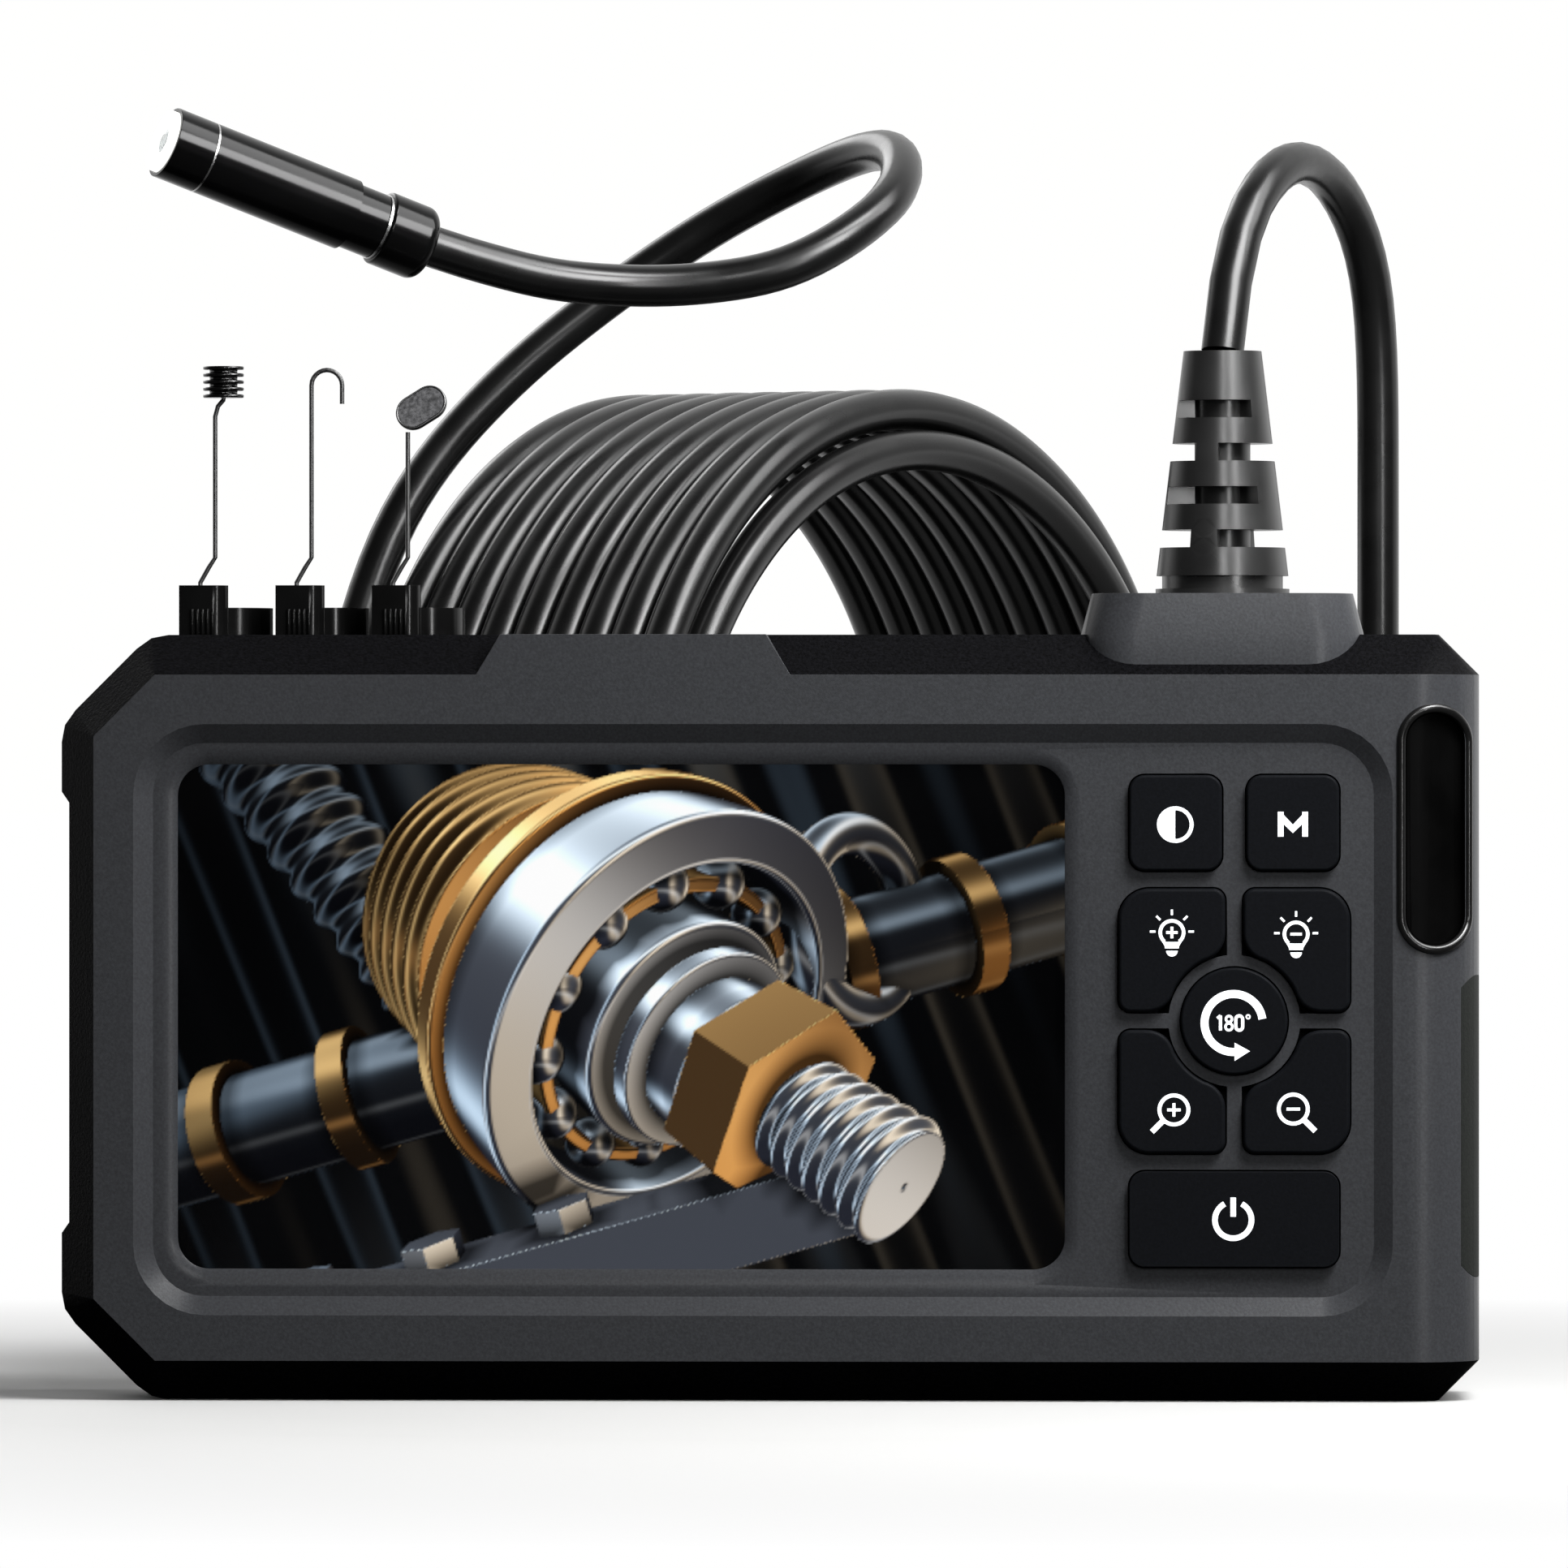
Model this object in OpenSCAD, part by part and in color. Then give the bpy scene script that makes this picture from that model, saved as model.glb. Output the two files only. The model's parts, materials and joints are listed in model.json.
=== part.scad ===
// Inspection camera: a handheld screen unit, a coiled semi-rigid probe cable, and three clip-on tools.
// Millimetres. +X is right as seen from the screen side, +Y is away from the screen, +Z is up.
// The origin is the centre of the bottom edge that the unit stands on.

/* [Housing] */
// Width of the housing
body_w = 152; // [146:0.5:160]
// Height of the housing
body_h = 82; // [80:0.5:86]
// Depth of the housing
body_d = 29; // [28:0.5:34]
// Wall thickness of the shells
wall = 2; // [1.6:0.1:2.4]
// Wall thickness of the middle frame
frame_wall = 3; // [2.6:0.1:3.4]
// Radius of the rounded right end
right_r = 7.8; // [6:0.1:9]
// Depth over which the black bevel round the face runs back
bevel_d = 5; // [4:0.1:6]
// Height of the bevel above and below the face
bevel_h = 4.3; // [3.6:0.1:5]
// Width of the bevel left of the face
bevel_left = 3.8; // [3:0.1:4.4]
// Size of the two softened outer corners on the left
corner_cut = 11.5; // [9:0.1:13]
// Size of the two cut corners of the face
face_cut = 6.6; // [5:0.1:8]
// How far the left side is pulled in between its corners
waist_d = 0.9; // [0.4:0.1:1.4]
// Depth of the front shell
front_d = 9; // [8.6:0.1:9.4]
// Depth of the middle frame behind the front shell
frame_d = 12; // [11:0.5:14]
// Bevel round the back cover
back_bevel = 3; // [1:0.1:4]
// Width of the grey tab that crosses the top bevel, at its foot
tab_w = 33.6; // [24:0.1:40]
// Middle of that tab
tab_x = -14.4; // [-24:0.1:-4]

/* [Screen] */
// Width of the visible screen
screen_w = 95; // [90:0.1:96]
// Height of the visible screen
screen_h = 54; // [50:0.1:55]
// Middle of the screen from the housing's left side
screen_x = 60.2; // [59:0.1:61]
// Middle of the screen above the middle of the housing
screen_z = 0.1; // [-1:0.1:1]
// Corner radius of the screen opening
screen_r = 3.4; // [1:0.1:5]
// Width of the sloped wall round the screen
screen_step = 1.6; // [1:0.1:1.9]
// Depth of the first recess, round screen and keys
recess_d = 1.2; // [0.8:0.1:1.4]
// Width of the first recess's sloped wall
recess_slope = 2; // [1:0.1:2.4]
// Depth of the screen's step below the first recess
step_d = 0.6; // [0.3:0.1:0.8]
// Thickness of the clear display window
window_t = 1; // [0.8:0.1:1.1]
// Border of the display panel round the visible screen
panel_border = 2.3; // [1.6:0.1:2.5]
// Thickness of the display panel
panel_t = 3; // [2:0.1:3.4]

/* [Keys] */
// Middle of the keys from the housing's right side
keys_x = 26.2; // [25.8:0.1:26.6]
// Middle of the round key below the middle of the housing
keys_z = 0.3; // [-0.2:0.1:0.8]
// Gap between keys
key_gap = 1.9; // [1.7:0.1:2]
// Width of the four large keys
big_key_w = 11.4; // [10.6:0.1:11.6]
// Height of the four large keys
big_key_h = 13.2; // [12:0.1:13.4]
// Width of the two small upper keys
small_key_w = 9.9; // [9:0.1:10.4]
// Height of the small keys and the power key
small_key_h = 10.2; // [9:0.1:10.4]
// Width of the power key
power_key_w = 22.4; // [16:0.1:23.4]
// Radius of the round middle key
round_key_r = 5.7; // [4.6:0.1:5.8]
// Distance between the round key and the keys around it
round_key_gap = 1.5; // [1.5:0.1:2]
// Gap round each key in its hole
key_clearance = 0.15; // [0.1:0.01:0.2]
// How far a key can be pressed
key_travel = 0.7; // [0.4:0.1:0.7]
// How far the keys stand out from the recess
key_proud = 1.05; // [0.6:0.05:1.2]

/* [Ports] */
// Width of the port pocket
pocket_w = 6.5; // [6:0.1:6.6]
// Height of the port pocket
pocket_h = 25.1; // [24:0.1:26]
// Depth of the port pocket
pocket_d = 6; // [5:0.1:6.4]
// Middle of the port pocket from the housing's right side
pocket_x = 4.8; // [4.6:0.1:5]
// Middle of the port pocket below the housing's top
pocket_z = 20.8; // [20.4:0.1:21.4]
// How far the port cover lies below the housing's surface
cover_inset = 0.6; // [0.2:0.1:1]
// Height of the side pad
pad_h = 32.3; // [20:0.1:34]
// Middle of the side pad below the middle of the port pocket
pad_z = 31.8; // [31.6:0.1:34]
// Thickness of the side pad
pad_t = 2; // [1:0.1:2.4]

/* [Cable] */
// Diameter of the probe cable
cable_d = 4.6; // [4.2:0.1:4.8]
// Middle of the cable gland from the housing's right side
gland_x = 27.5; // [27:0.5:30]
// Width of the gland block at its top
gland_w = 28; // [24:0.1:30]
// Height of the gland block above the housing
gland_h = 4.4; // [3:0.1:6]
// Corner radius of the gland block
gland_r = 6; // [3:0.1:8]
// Radius of the strain relief at its foot
relief_r = 7.1; // [6.6:0.1:7.6]
// Radius of the strain relief at its tip
relief_tip_r = 4.2; // [3.6:0.1:4.6]
// Length of the strain relief's slotted cone
relief_l = 24.2; // [20:0.1:26]
// Radius of the stem that passes into the housing
stem_r = 3.4; // [3.2:0.1:3.6]
// Turns in the outer layer of the coil
coil_turns = 9; // [4:1:9]
// Radius of the coil at the middle of its turns
coil_r = 53; // [50:0.5:53]
// How far the coil's axis is turned from the housing's width
coil_turn = 35; // [34:0.5:36]

/* [Probe] */
// Diameter of the probe
probe_d = 7.9; // [7.6:0.1:8.2]
// Length of the probe
probe_l = 32.5; // [32:0.5:34]
// Wall of the probe tube
probe_wall = 0.6; // [0.4:0.1:0.7]
// Length of the probe's head ring
probe_head_l = 5; // [4:0.1:6]
// Length of the main probe tube
probe_tube_l = 17.4; // [14:0.1:17.6]
// Length of the slimmer neck behind the tube
probe_neck_l = 3.7; // [2:0.1:4]
// Turn of the probe about the vertical
probe_turn = 24; // [20:0.5:26]
// Fall of the probe towards its rear
probe_fall = 19.8; // [18:0.1:21]

/* [Tools] */
// Radial play between the probe and a tool's collar
tool_play = 0.05; // [0.03:0.01:0.08]
// Wall of a tool's collar
tool_wall = 0.7; // [0.5:0.1:0.9]
// Height of a tool's collar
tool_h = 3; // [2:0.1:4]
// Height of the block that holds the wire
tool_block_h = 5.4; // [4.4:0.1:6.4]
// Diameter of the tool wires
tool_wire_d = 0.5; // [0.4:0.05:0.7]
// Distance from tool to tool
tool_pitch = 10.4; // [10.2:0.1:11]
// Place of the first tool across
tool_x = -58.8; // [-59:0.1:-57]

/* [Hidden] */

$fn = 48;
thin = 0.01;
through = 1;

// Shell layout, as depths behind the front face
front_wall_end = recess_d + step_d + 1.6;
window_front = front_wall_end - window_t;
gasket_t = 0.6;
panel_front = front_wall_end + gasket_t;
frame_end = front_d + frame_d;
back_wall_start = body_d - wall;

// Outline of the face and of the housing
half_w = body_w / 2;
screen_at_x = screen_x - half_w;
screen_at_z = body_h / 2 + screen_z;
keys_at_x = half_w - keys_x;
keys_at_z = body_h / 2 - keys_z;
pocket_at_x = half_w - pocket_x;
pocket_at_z = body_h - pocket_z;
pad_at_z = pocket_at_z - pad_z;
gland_at_x = half_w - gland_x;
face_left = -half_w + bevel_left;
face_bottom = bevel_h;
face_top = body_h - bevel_h;
face_past_right = half_w + 5;
face_points = [
    [face_left, face_bottom + face_cut], [face_left + face_cut, face_bottom],
    [face_past_right, face_bottom], [face_past_right, face_top],
    [face_left + face_cut, face_top], [face_left, face_top - face_cut]
];
waist_slope = 2.5;
waist_low = corner_cut + 7.5;
waist_high = body_h - corner_cut - 6.5;
// The tab's outline: its sides lean in by tab_slope up to the housing's top, and it ends past above that
tab_slope = 2.6;
tab_left = tab_x - tab_w / 2;
tab_right = tab_x + tab_w / 2;
function tab_points(past) = let (lean = tab_slope * (bevel_h + past) / bevel_h) [
    [tab_left, face_top - 1], [tab_right, face_top - 1], [tab_right, face_top],
    [tab_right - lean, body_h + past], [tab_left + lean, body_h + past], [tab_left, face_top]
];
// A softened corner: the shares of its size at which its outline turns
soft_corner = [[0, 1], [0.03, 0.84], [0.13, 0.70], [0.70, 0.13], [0.84, 0.03], [1, 0]];

// Screen
screen_left = screen_at_x - screen_w / 2;
screen_right = screen_at_x + screen_w / 2;
screen_low = screen_at_z - screen_h / 2;
screen_high = screen_at_z + screen_h / 2;
recess_gap = 1;
recess_past_keys = 5.7;
recess_shift = 0.3;
// What is left of the front wall over the window, at the edge of the screen opening
screen_lip = 0.3;
recess_corner_r = 7.6;
recess_left = screen_left - screen_step - recess_gap - recess_slope;
recess_right = keys_at_x + power_key_w / 2 + recess_past_keys;
recess_low = screen_low - screen_step - recess_gap - recess_slope - recess_shift;
recess_high = screen_high + screen_step + recess_gap + recess_slope - recess_shift;
panel_border_z = 3;
panel_left = screen_left - panel_border;
panel_right = screen_right + panel_border;
panel_low = screen_low - panel_border_z;
panel_high = screen_high + panel_border_z;

// Keys: rows from the round key outwards
row_up = keys_at_z + key_gap / 2;
row_down = keys_at_z - key_gap / 2;
row_top = row_up + big_key_h + key_gap;
row_power = row_down - big_key_h - key_gap - small_key_h;
big_left = keys_at_x - key_gap / 2 - big_key_w;
big_right = keys_at_x + key_gap / 2;
small_gap = 2.6;
small_left = keys_at_x - small_gap / 2 - small_key_w;
small_right = keys_at_x + small_gap / 2;
key_hollow_r = round_key_r + round_key_gap;
key_top_d = recess_d - key_proud;
key_flange = 0.6;
key_flange_t = 0.8;
key_flange_front = front_wall_end + 0.05;
key_outer_r = 3.3;
key_inner_r = 1.3;
key_corner_r = 1.65;
switch_top = key_flange_front + key_flange_t + key_travel + 0.1;
key_board_front = switch_top + 1.1;
key_board_t = 1.2;
mat_t = 1;

// Cavity of the front shell and the boards in it
cavity_left = face_left + wall;
cavity_right = half_w - 2 * wall;
cavity_low = face_bottom + wall;
cavity_high = face_top - wall;
cavity_cut = face_cut + 0.6 * wall;
main_board_front = front_d;
board_t = 1.6;
board_gap = 0.6;
main_inset = 10;
main_left = cavity_left + main_inset;
chip_first = 18;
chip_second = 44;
main_right = panel_right;
board_boss_r = 1.9;
board_screw_r = 0.8;
board_screw_head_r = 1.75;
board_screw_head_t = 1.2;
board_hole_r = 1.1;
main_boss = [for (x = [main_left + 5, main_right - 4], z = [cavity_low + 2.3, cavity_high - 2.3]) [x, z]];
key_boss_left = 2.2;
key_boss_right = 8.2;
key_boss_low = 3.6;
key_boss_high = 4.2;
key_board_left = panel_right + 2.2;
key_board_right = pocket_at_x - pocket_w / 2 - wall;
key_boss = [
    for (x = [key_board_left + key_boss_left, key_board_right - key_boss_right])
        for (z = [cavity_low + key_boss_low, row_top + small_key_h + key_boss_high])
            [x, z]
];
case_boss_r = 2.15;
case_pilot_r = 1.3;
case_screw_r = 1.25;
case_hole_r = 1.6;
case_head_r = 2.4;
case_head_t = 1.6;
case_head_hole_r = 2.6;
case_head_d = 2;
case_post_r = 2.8;
case_screw_l = 14;
case_boss_rise = 17;
case_boss = [
    [cavity_left + case_boss_r + 0.05, body_h / 2 - case_boss_rise],
    [cavity_left + case_boss_r + 0.05, body_h / 2 + case_boss_rise],
    [cavity_right - case_boss_r - 0.3, cavity_low + case_boss_r + 0.6],
    [pocket_at_x - pocket_w / 2 - wall - case_boss_r - 0.2, cavity_high - case_boss_r - 0.2]
];
battery_w = 62;
battery_h = 46;
battery_t = 7.4;
battery_shift = 13;
battery_x = screen_at_x - battery_shift;

// Ports
pocket_wall = 1.8;
pocket_floor = 2.4;
port_block_left = pocket_at_x - pocket_w / 2 - pocket_wall;
port_block_low = pocket_at_z - pocket_h / 2 - pocket_wall;
socket_clearance = 0.05;
socket_front = pocket_d + 0.2;
socket_l = 5.4;
usb_w = 2.9;
usb_h = 7.6;
usb_drop = 6.8;
usb_z = pocket_at_z - usb_drop;
card_w = 2;
card_h = 12.2;
card_rise = 5.1;
card_z = pocket_at_z + card_rise;
socket_wall = 0.35;
port_board_front = socket_front + socket_l;
port_board_t = 1.2;
pad_front = 1.6;
pad_depth = 16;
pad_r = 4;

// Gland and strain relief
gland_y = 0;
gland_d = 25.4;
gland_flare = 1.15;
gland_front_drop = 4;
flange_t = 0.6;
neck_t = 1.4;
neck_r = relief_r - 0.6;
relief_foot = body_h + gland_h + flange_t + neck_t;
relief_top = relief_foot + relief_l;
slot_h = 1.9;
slot_core_r = 3;
slot_turn = -18;
slot_front_half = 57;
slot_side_half = 77;
nut_r = 5.3;
nut_t = 3.4;
cable_r = cable_d / 2;
bore_play = 0.05;
core_depth = 8;
core_bottom = body_h - core_depth;
lead_bend_r = 14;
connector_w = 8;
connector_wall = 0.8;
connector_l = 6;
connector_h = 7;

// Cable route where it isn't coiled: from the strain relief over and down to the floor behind the housing
loop_points = [
    [49.5, 2.5, 124.5], [53, 9, 132], [57, 18, 134.5], [61, 27, 132], [64.5, 33.5, 124.5], [65.5, 36, 114],
    [65.5, 36, 100], [65.5, 36, 86], [65.5, 36, 72], [65.5, 36, 58], [65.5, 36, 44], [65.5, 36, 30],
    [65.5, 37.5, 16.5], [65.5, 43.5, 7], [65.5, 54, 2.5], [63, 66, 2.5], [55.5, 76.5, 2.5], [43.5, 81, 2.5],
    [31, 78, 2.5]
];
// Cable route from the coil up and round to the probe
lead_points = [
    [-26, 83, 3.5], [-32.5, 73.5, 7.5], [-39, 65.5, 13.5], [-44, 58.5, 22], [-48.5, 53.5, 32],
    [-51, 50, 43], [-52, 49, 55.5], [-51.5, 50, 67.5], [-49.5, 53, 80], [-45.5, 56.5, 93.5], [-40.5, 60, 102],
    [-35.5, 62.5, 108], [-29.5, 64.5, 114], [-22, 66, 120], [-15, 66.5, 125], [-8, 66, 129.5], [0, 63, 133.5],
    [6, 57.5, 136], [10.5, 50.5, 137], [13, 43, 135.5], [13, 36, 132], [10.5, 30, 128.5], [5, 26, 124.5],
    [-0.5, 24.5, 122], [-6.5, 24, 121], [-12, 23, 120.5], [-18, 21.5, 120.5], [-25, 18.5, 121],
    [-31, 16, 122.5]
];
coil_x = 14.5;
coil_y = 68;
coil_z = coil_r + cable_r;
coil_inner_r = coil_r - cable_d;
coil_l = coil_turns * cable_d;
coil_entry = 5;
function coil_along(t) = [-t * cos(coil_turn), t * sin(coil_turn), 0];
coil_start = [coil_x, coil_y, cable_r + 0.1] + coil_along(-coil_entry);
coil_end = [coil_x, coil_y, cable_r + 0.1] + coil_along(coil_l);

// Probe, along its own axis from the lens (0) to the rear (probe_l)
probe_tip = [-66, 0, 135.5];
probe_r = probe_d / 2;
probe_dir = [
    cos(probe_fall) * cos(probe_turn), cos(probe_fall) * sin(probe_turn), -sin(probe_fall)
];
probe_rear = probe_tip + probe_l * probe_dir;
probe_lip = 0.5;
camera_front = 1.6;
camera_r = 2.25;
camera_l = 5;
seam_t = 0.2;
tube_start = probe_head_l + seam_t;
tube_end = tube_start + probe_tube_l;
neck_end = tube_end + probe_neck_l;
neck_out_r = probe_r - 0.35;
neck_plug_l = 2.4;
probe_ring_t = 0.3;
probe_bore_r = probe_r - probe_wall;
probe_collar_r = probe_r + 0.15;
collar_round = 1.4;

// Tools
tool_bore_r = probe_r + tool_play;
tool_r = tool_bore_r + tool_wall;
tool_y = 2;
tool_block_left = -5;
tool_block_right = 0.2;
tool_block_front = -tool_r - 1.5;
tool_barrel_r = 1.6;
tool_wire_r = tool_wire_d / 2;
tool_wire_x = -2.8;
tool_wire_y = -tool_r - 0.1;
tool_wire_bend_z = 8;
rib_count = 5;
rib_r = 0.22;

// ---- helpers ----

function depth_y(d) = d - body_d / 2;
function right_x(d) = half_w - right_r + sqrt(max(0, right_r * right_r - pow(right_r - min(d, right_r), 2)));

// A plate between two depths, from an outline seen from the front
module plate(d0, d1) {
    translate([0, depth_y(d1), 0])
        rotate([90, 0, 0])
            linear_extrude(d1 - d0)
                children();
}

// A straight round bar or hole along the depth
module depth_rod(at, r, d0, d1) {
    translate([at[0], depth_y(d0), at[1]])
        rotate([-90, 0, 0])
            cylinder(r = r, h = d1 - d0);
}

// The part of a square corner outside its rounding. sx and sz point from the corner into the outline
module corner_waste(at, r, sx, sz) {
    translate(at)
        scale_mirror(sx, sz)
            difference() {
                translate([-through, -through]) square(r + through);
                translate([r, r]) circle(r);
            }
}

module scale_mirror(sx, sz) {
    mirror([sx < 0 ? 1 : 0, 0])
        mirror([0, sz < 0 ? 1 : 0])
            children();
}

// A rectangle with a radius for each corner: lower left, lower right, upper right, upper left
module rounded_rect(x0, x1, z0, z1, radii) {
    difference() {
        translate([x0, z0]) square([x1 - x0, z1 - z0]);
        corner_waste([x0, z0], radii[0], 1, 1);
        corner_waste([x1, z0], radii[1], -1, 1);
        corner_waste([x1, z1], radii[2], -1, -1);
        corner_waste([x0, z1], radii[3], 1, -1);
    }
}

module even_rect(x0, x1, z0, z1, r) {
    rounded_rect(x0, x1, z0, z1, [r, r, r, r]);
}

// The housing's outline, inset by k, with its right edge at right
function outline_points(k, right) = concat(
    [for (c = soft_corner) [-half_w + k + corner_cut * c[0], k + corner_cut * c[1]]],
    [[right - bevel_h, k], [right, face_bottom], [right, face_top], [right - bevel_h, body_h - k]],
    [for (i = [len(soft_corner) - 1:-1:0])
        [-half_w + k + corner_cut * soft_corner[i][0], body_h - k - corner_cut * soft_corner[i][1]]]
);

// The outer shape of the closed housing
module envelope() {
    difference() {
        hull() {
            plate(0, thin)
                polygon([for (p = face_points) [min(p[0], right_x(0)), p[1]]]);
            for (turn = [7.5:7.5:82.5])
                plate(right_r * (1 - cos(turn)), right_r * (1 - cos(turn)) + thin)
                    translate([0, face_bottom])
                        square([right_x(right_r * (1 - cos(turn))), face_top - face_bottom]);
            plate(bevel_d, bevel_d + thin)
                polygon(outline_points(0, right_x(bevel_d)));
            plate(max(right_r, bevel_d), body_d - back_bevel)
                polygon(outline_points(0, half_w));
            plate(body_d - thin, body_d)
                polygon(outline_points(back_bevel, half_w - back_bevel));
        }
        plate(-through, body_d + through)
            polygon([
                [-half_w - through, waist_low - waist_slope], [-half_w + waist_d, waist_low],
                [-half_w + waist_d, waist_high], [-half_w - through, waist_high + waist_slope]
            ]);
    }
}

// A recess with sloped walls: its outline at the surface and, inset by slope, at its floor
module sloped_recess(x0, x1, z0, z1, r, d0, d1, slope) {
    hull() {
        plate(d0 - thin, d0)
            even_rect(x0, x1, z0, z1, r, $fn = 32);
        plate(d1 - thin, d1)
            even_rect(x0 + slope, x1 - slope, z0 + slope, z1 - slope, r - slope, $fn = 32);
    }
}

// The inside outline of the frame and back cover
module inner_outline() {
    cut = corner_cut - 1;
    polygon([
        [-half_w + frame_wall, frame_wall + cut], [-half_w + frame_wall + cut, frame_wall],
        [half_w - frame_wall - 2, frame_wall], [half_w - frame_wall, frame_wall + 2],
        [half_w - frame_wall, body_h - frame_wall - 2], [half_w - frame_wall - 2, body_h - frame_wall],
        [-half_w + frame_wall + cut, body_h - frame_wall], [-half_w + frame_wall, body_h - frame_wall - cut]
    ]);
}

// ---- keys, seen from the front; g grows the outline ----

module small_key_shape(x0, g) {
    even_rect(x0 - g, x0 + small_key_w + g, row_top - g, row_top + small_key_h + g, key_corner_r + g);
}

// up is 1 for the light keys and -1 for the zoom keys, side is -1 on the left and 1 on the right
module large_key_shape(up, side, g) {
    x0 = side < 0 ? big_left : big_right;
    z0 = up > 0 ? row_up : row_down - big_key_h;
    outer = key_outer_r + g;
    inner = key_inner_r + g;
    difference() {
        rounded_rect(x0 - g, x0 + big_key_w + g, z0 - g, z0 + big_key_h + g, [
            up < 0 && side < 0 ? outer : inner, up < 0 && side > 0 ? outer : inner,
            up > 0 && side > 0 ? outer : inner, up > 0 && side < 0 ? outer : inner
        ]);
        translate([keys_at_x, keys_at_z]) circle(key_hollow_r - g);
    }
}

module round_key_shape(g) {
    translate([keys_at_x, keys_at_z]) circle(round_key_r + g);
}

module power_key_shape(g) {
    even_rect(keys_at_x - power_key_w / 2 - g, keys_at_x + power_key_w / 2 + g, row_power - g,
        row_power + small_key_h + g, key_corner_r + g);
}

module all_key_shapes(g) {
    small_key_shape(small_left, g);
    small_key_shape(small_right, g);
    for (up = [-1, 1], side = [-1, 1]) large_key_shape(up, side, g);
    round_key_shape(g);
    power_key_shape(g);
}

// A key: its cap (first child) through the shell, and its wider flange (second child) behind the wall
module key_cap() {
    color([0.07, 0.07, 0.08]) {
        plate(key_top_d, key_flange_front) children(0);
        plate(key_flange_front, key_flange_front + key_flange_t) children(1);
    }
}

switch_places = [
    [small_left + small_key_w / 2, row_top + small_key_h / 2],
    [small_right + small_key_w / 2, row_top + small_key_h / 2],
    [big_left + big_key_w / 2, row_up + big_key_h / 2 + 1],
    [big_right + big_key_w / 2, row_up + big_key_h / 2 + 1],
    [keys_at_x, keys_at_z],
    [big_left + big_key_w / 2, row_down - big_key_h / 2 - 1],
    [big_right + big_key_w / 2, row_down - big_key_h / 2 - 1],
    [keys_at_x, row_power + small_key_h / 2]
];
switch_r = 2;

module key_contrast() { key_cap() { small_key_shape(small_left, 0); small_key_shape(small_left, key_flange); } }
module key_menu() { key_cap() { small_key_shape(small_right, 0); small_key_shape(small_right, key_flange); } }
module key_light_up() { key_cap() { large_key_shape(1, -1, 0); large_key_shape(1, -1, key_flange); } }
module key_light_down() { key_cap() { large_key_shape(1, 1, 0); large_key_shape(1, 1, key_flange); } }
module key_rotate() { key_cap() { round_key_shape(0); round_key_shape(key_flange); } }
module key_zoom_in() { key_cap() { large_key_shape(-1, -1, 0); large_key_shape(-1, -1, key_flange); } }
module key_zoom_out() { key_cap() { large_key_shape(-1, 1, 0); large_key_shape(-1, 1, key_flange); } }
module key_power() { key_cap() { power_key_shape(0); power_key_shape(key_flange); } }

module key_switches() {
    color("silver")
        for (at = switch_places) {
            depth_rod(at, switch_r - 0.6, switch_top, switch_top + 0.5);
            depth_rod(at, switch_r, switch_top + 0.5, key_board_front);
        }
}

module keypad_mat() {
    color([0.2, 0.2, 0.22])
        difference() {
            plate(key_board_front - mat_t, key_board_front)
                even_rect(big_left - 0.8, big_right + big_key_w + 0.8, row_power - 0.8,
                    row_top + small_key_h + 0.8, 2);
            for (at = switch_places)
                depth_rod(at, switch_r + 0.2, key_board_front - mat_t - through, key_board_front + through);
        }
}

module key_board() {
    color([0.05, 0.3, 0.15])
        difference() {
            plate(key_board_front, key_board_front + key_board_t)
                even_rect(key_board_left, key_board_right, cavity_low + 1, cavity_high - 1.5, 1);
            for (at = key_boss)
                depth_rod(at, board_hole_r, key_board_front - through, key_board_front + key_board_t + through);
            for (at = case_boss)
                depth_rod(at, case_boss_r + 0.4, key_board_front - through, key_board_front + key_board_t + through);
        }
}

// ---- housing ----

module port_pocket_shape(g) {
    r = pocket_w / 2 + g;
    reach = pocket_h / 2 + g;
    even_rect(pocket_at_x - r, pocket_at_x + r, pocket_at_z - reach, pocket_at_z + reach, r - 0.01);
}

module side_pad_block(d0, inner_x) {
    translate([inner_x, 0, 0])
        rotate([90, 0, 90])
            linear_extrude(half_w + through - inner_x)
                even_rect(
                    depth_y(d0), depth_y(pad_front + pad_depth), pad_at_z - pad_h / 2, pad_at_z + pad_h / 2, pad_r
                );
}

module front_cavity() {
    plate(front_wall_end, front_d + through)
        difference() {
            polygon([
                [cavity_left, cavity_low + cavity_cut], [cavity_left + cavity_cut, cavity_low],
                [cavity_right, cavity_low], [cavity_right, cavity_high],
                [cavity_left + cavity_cut, cavity_high], [cavity_left, cavity_high - cavity_cut]
            ]);
            translate([port_block_left, port_block_low])
                square([cavity_right, body_h]);
        }
}

module socket_hole(w, h, z, d0, d1) {
    plate(d0, d1)
        translate([pocket_at_x - w / 2, z - h / 2])
            square([w, h]);
}

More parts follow.
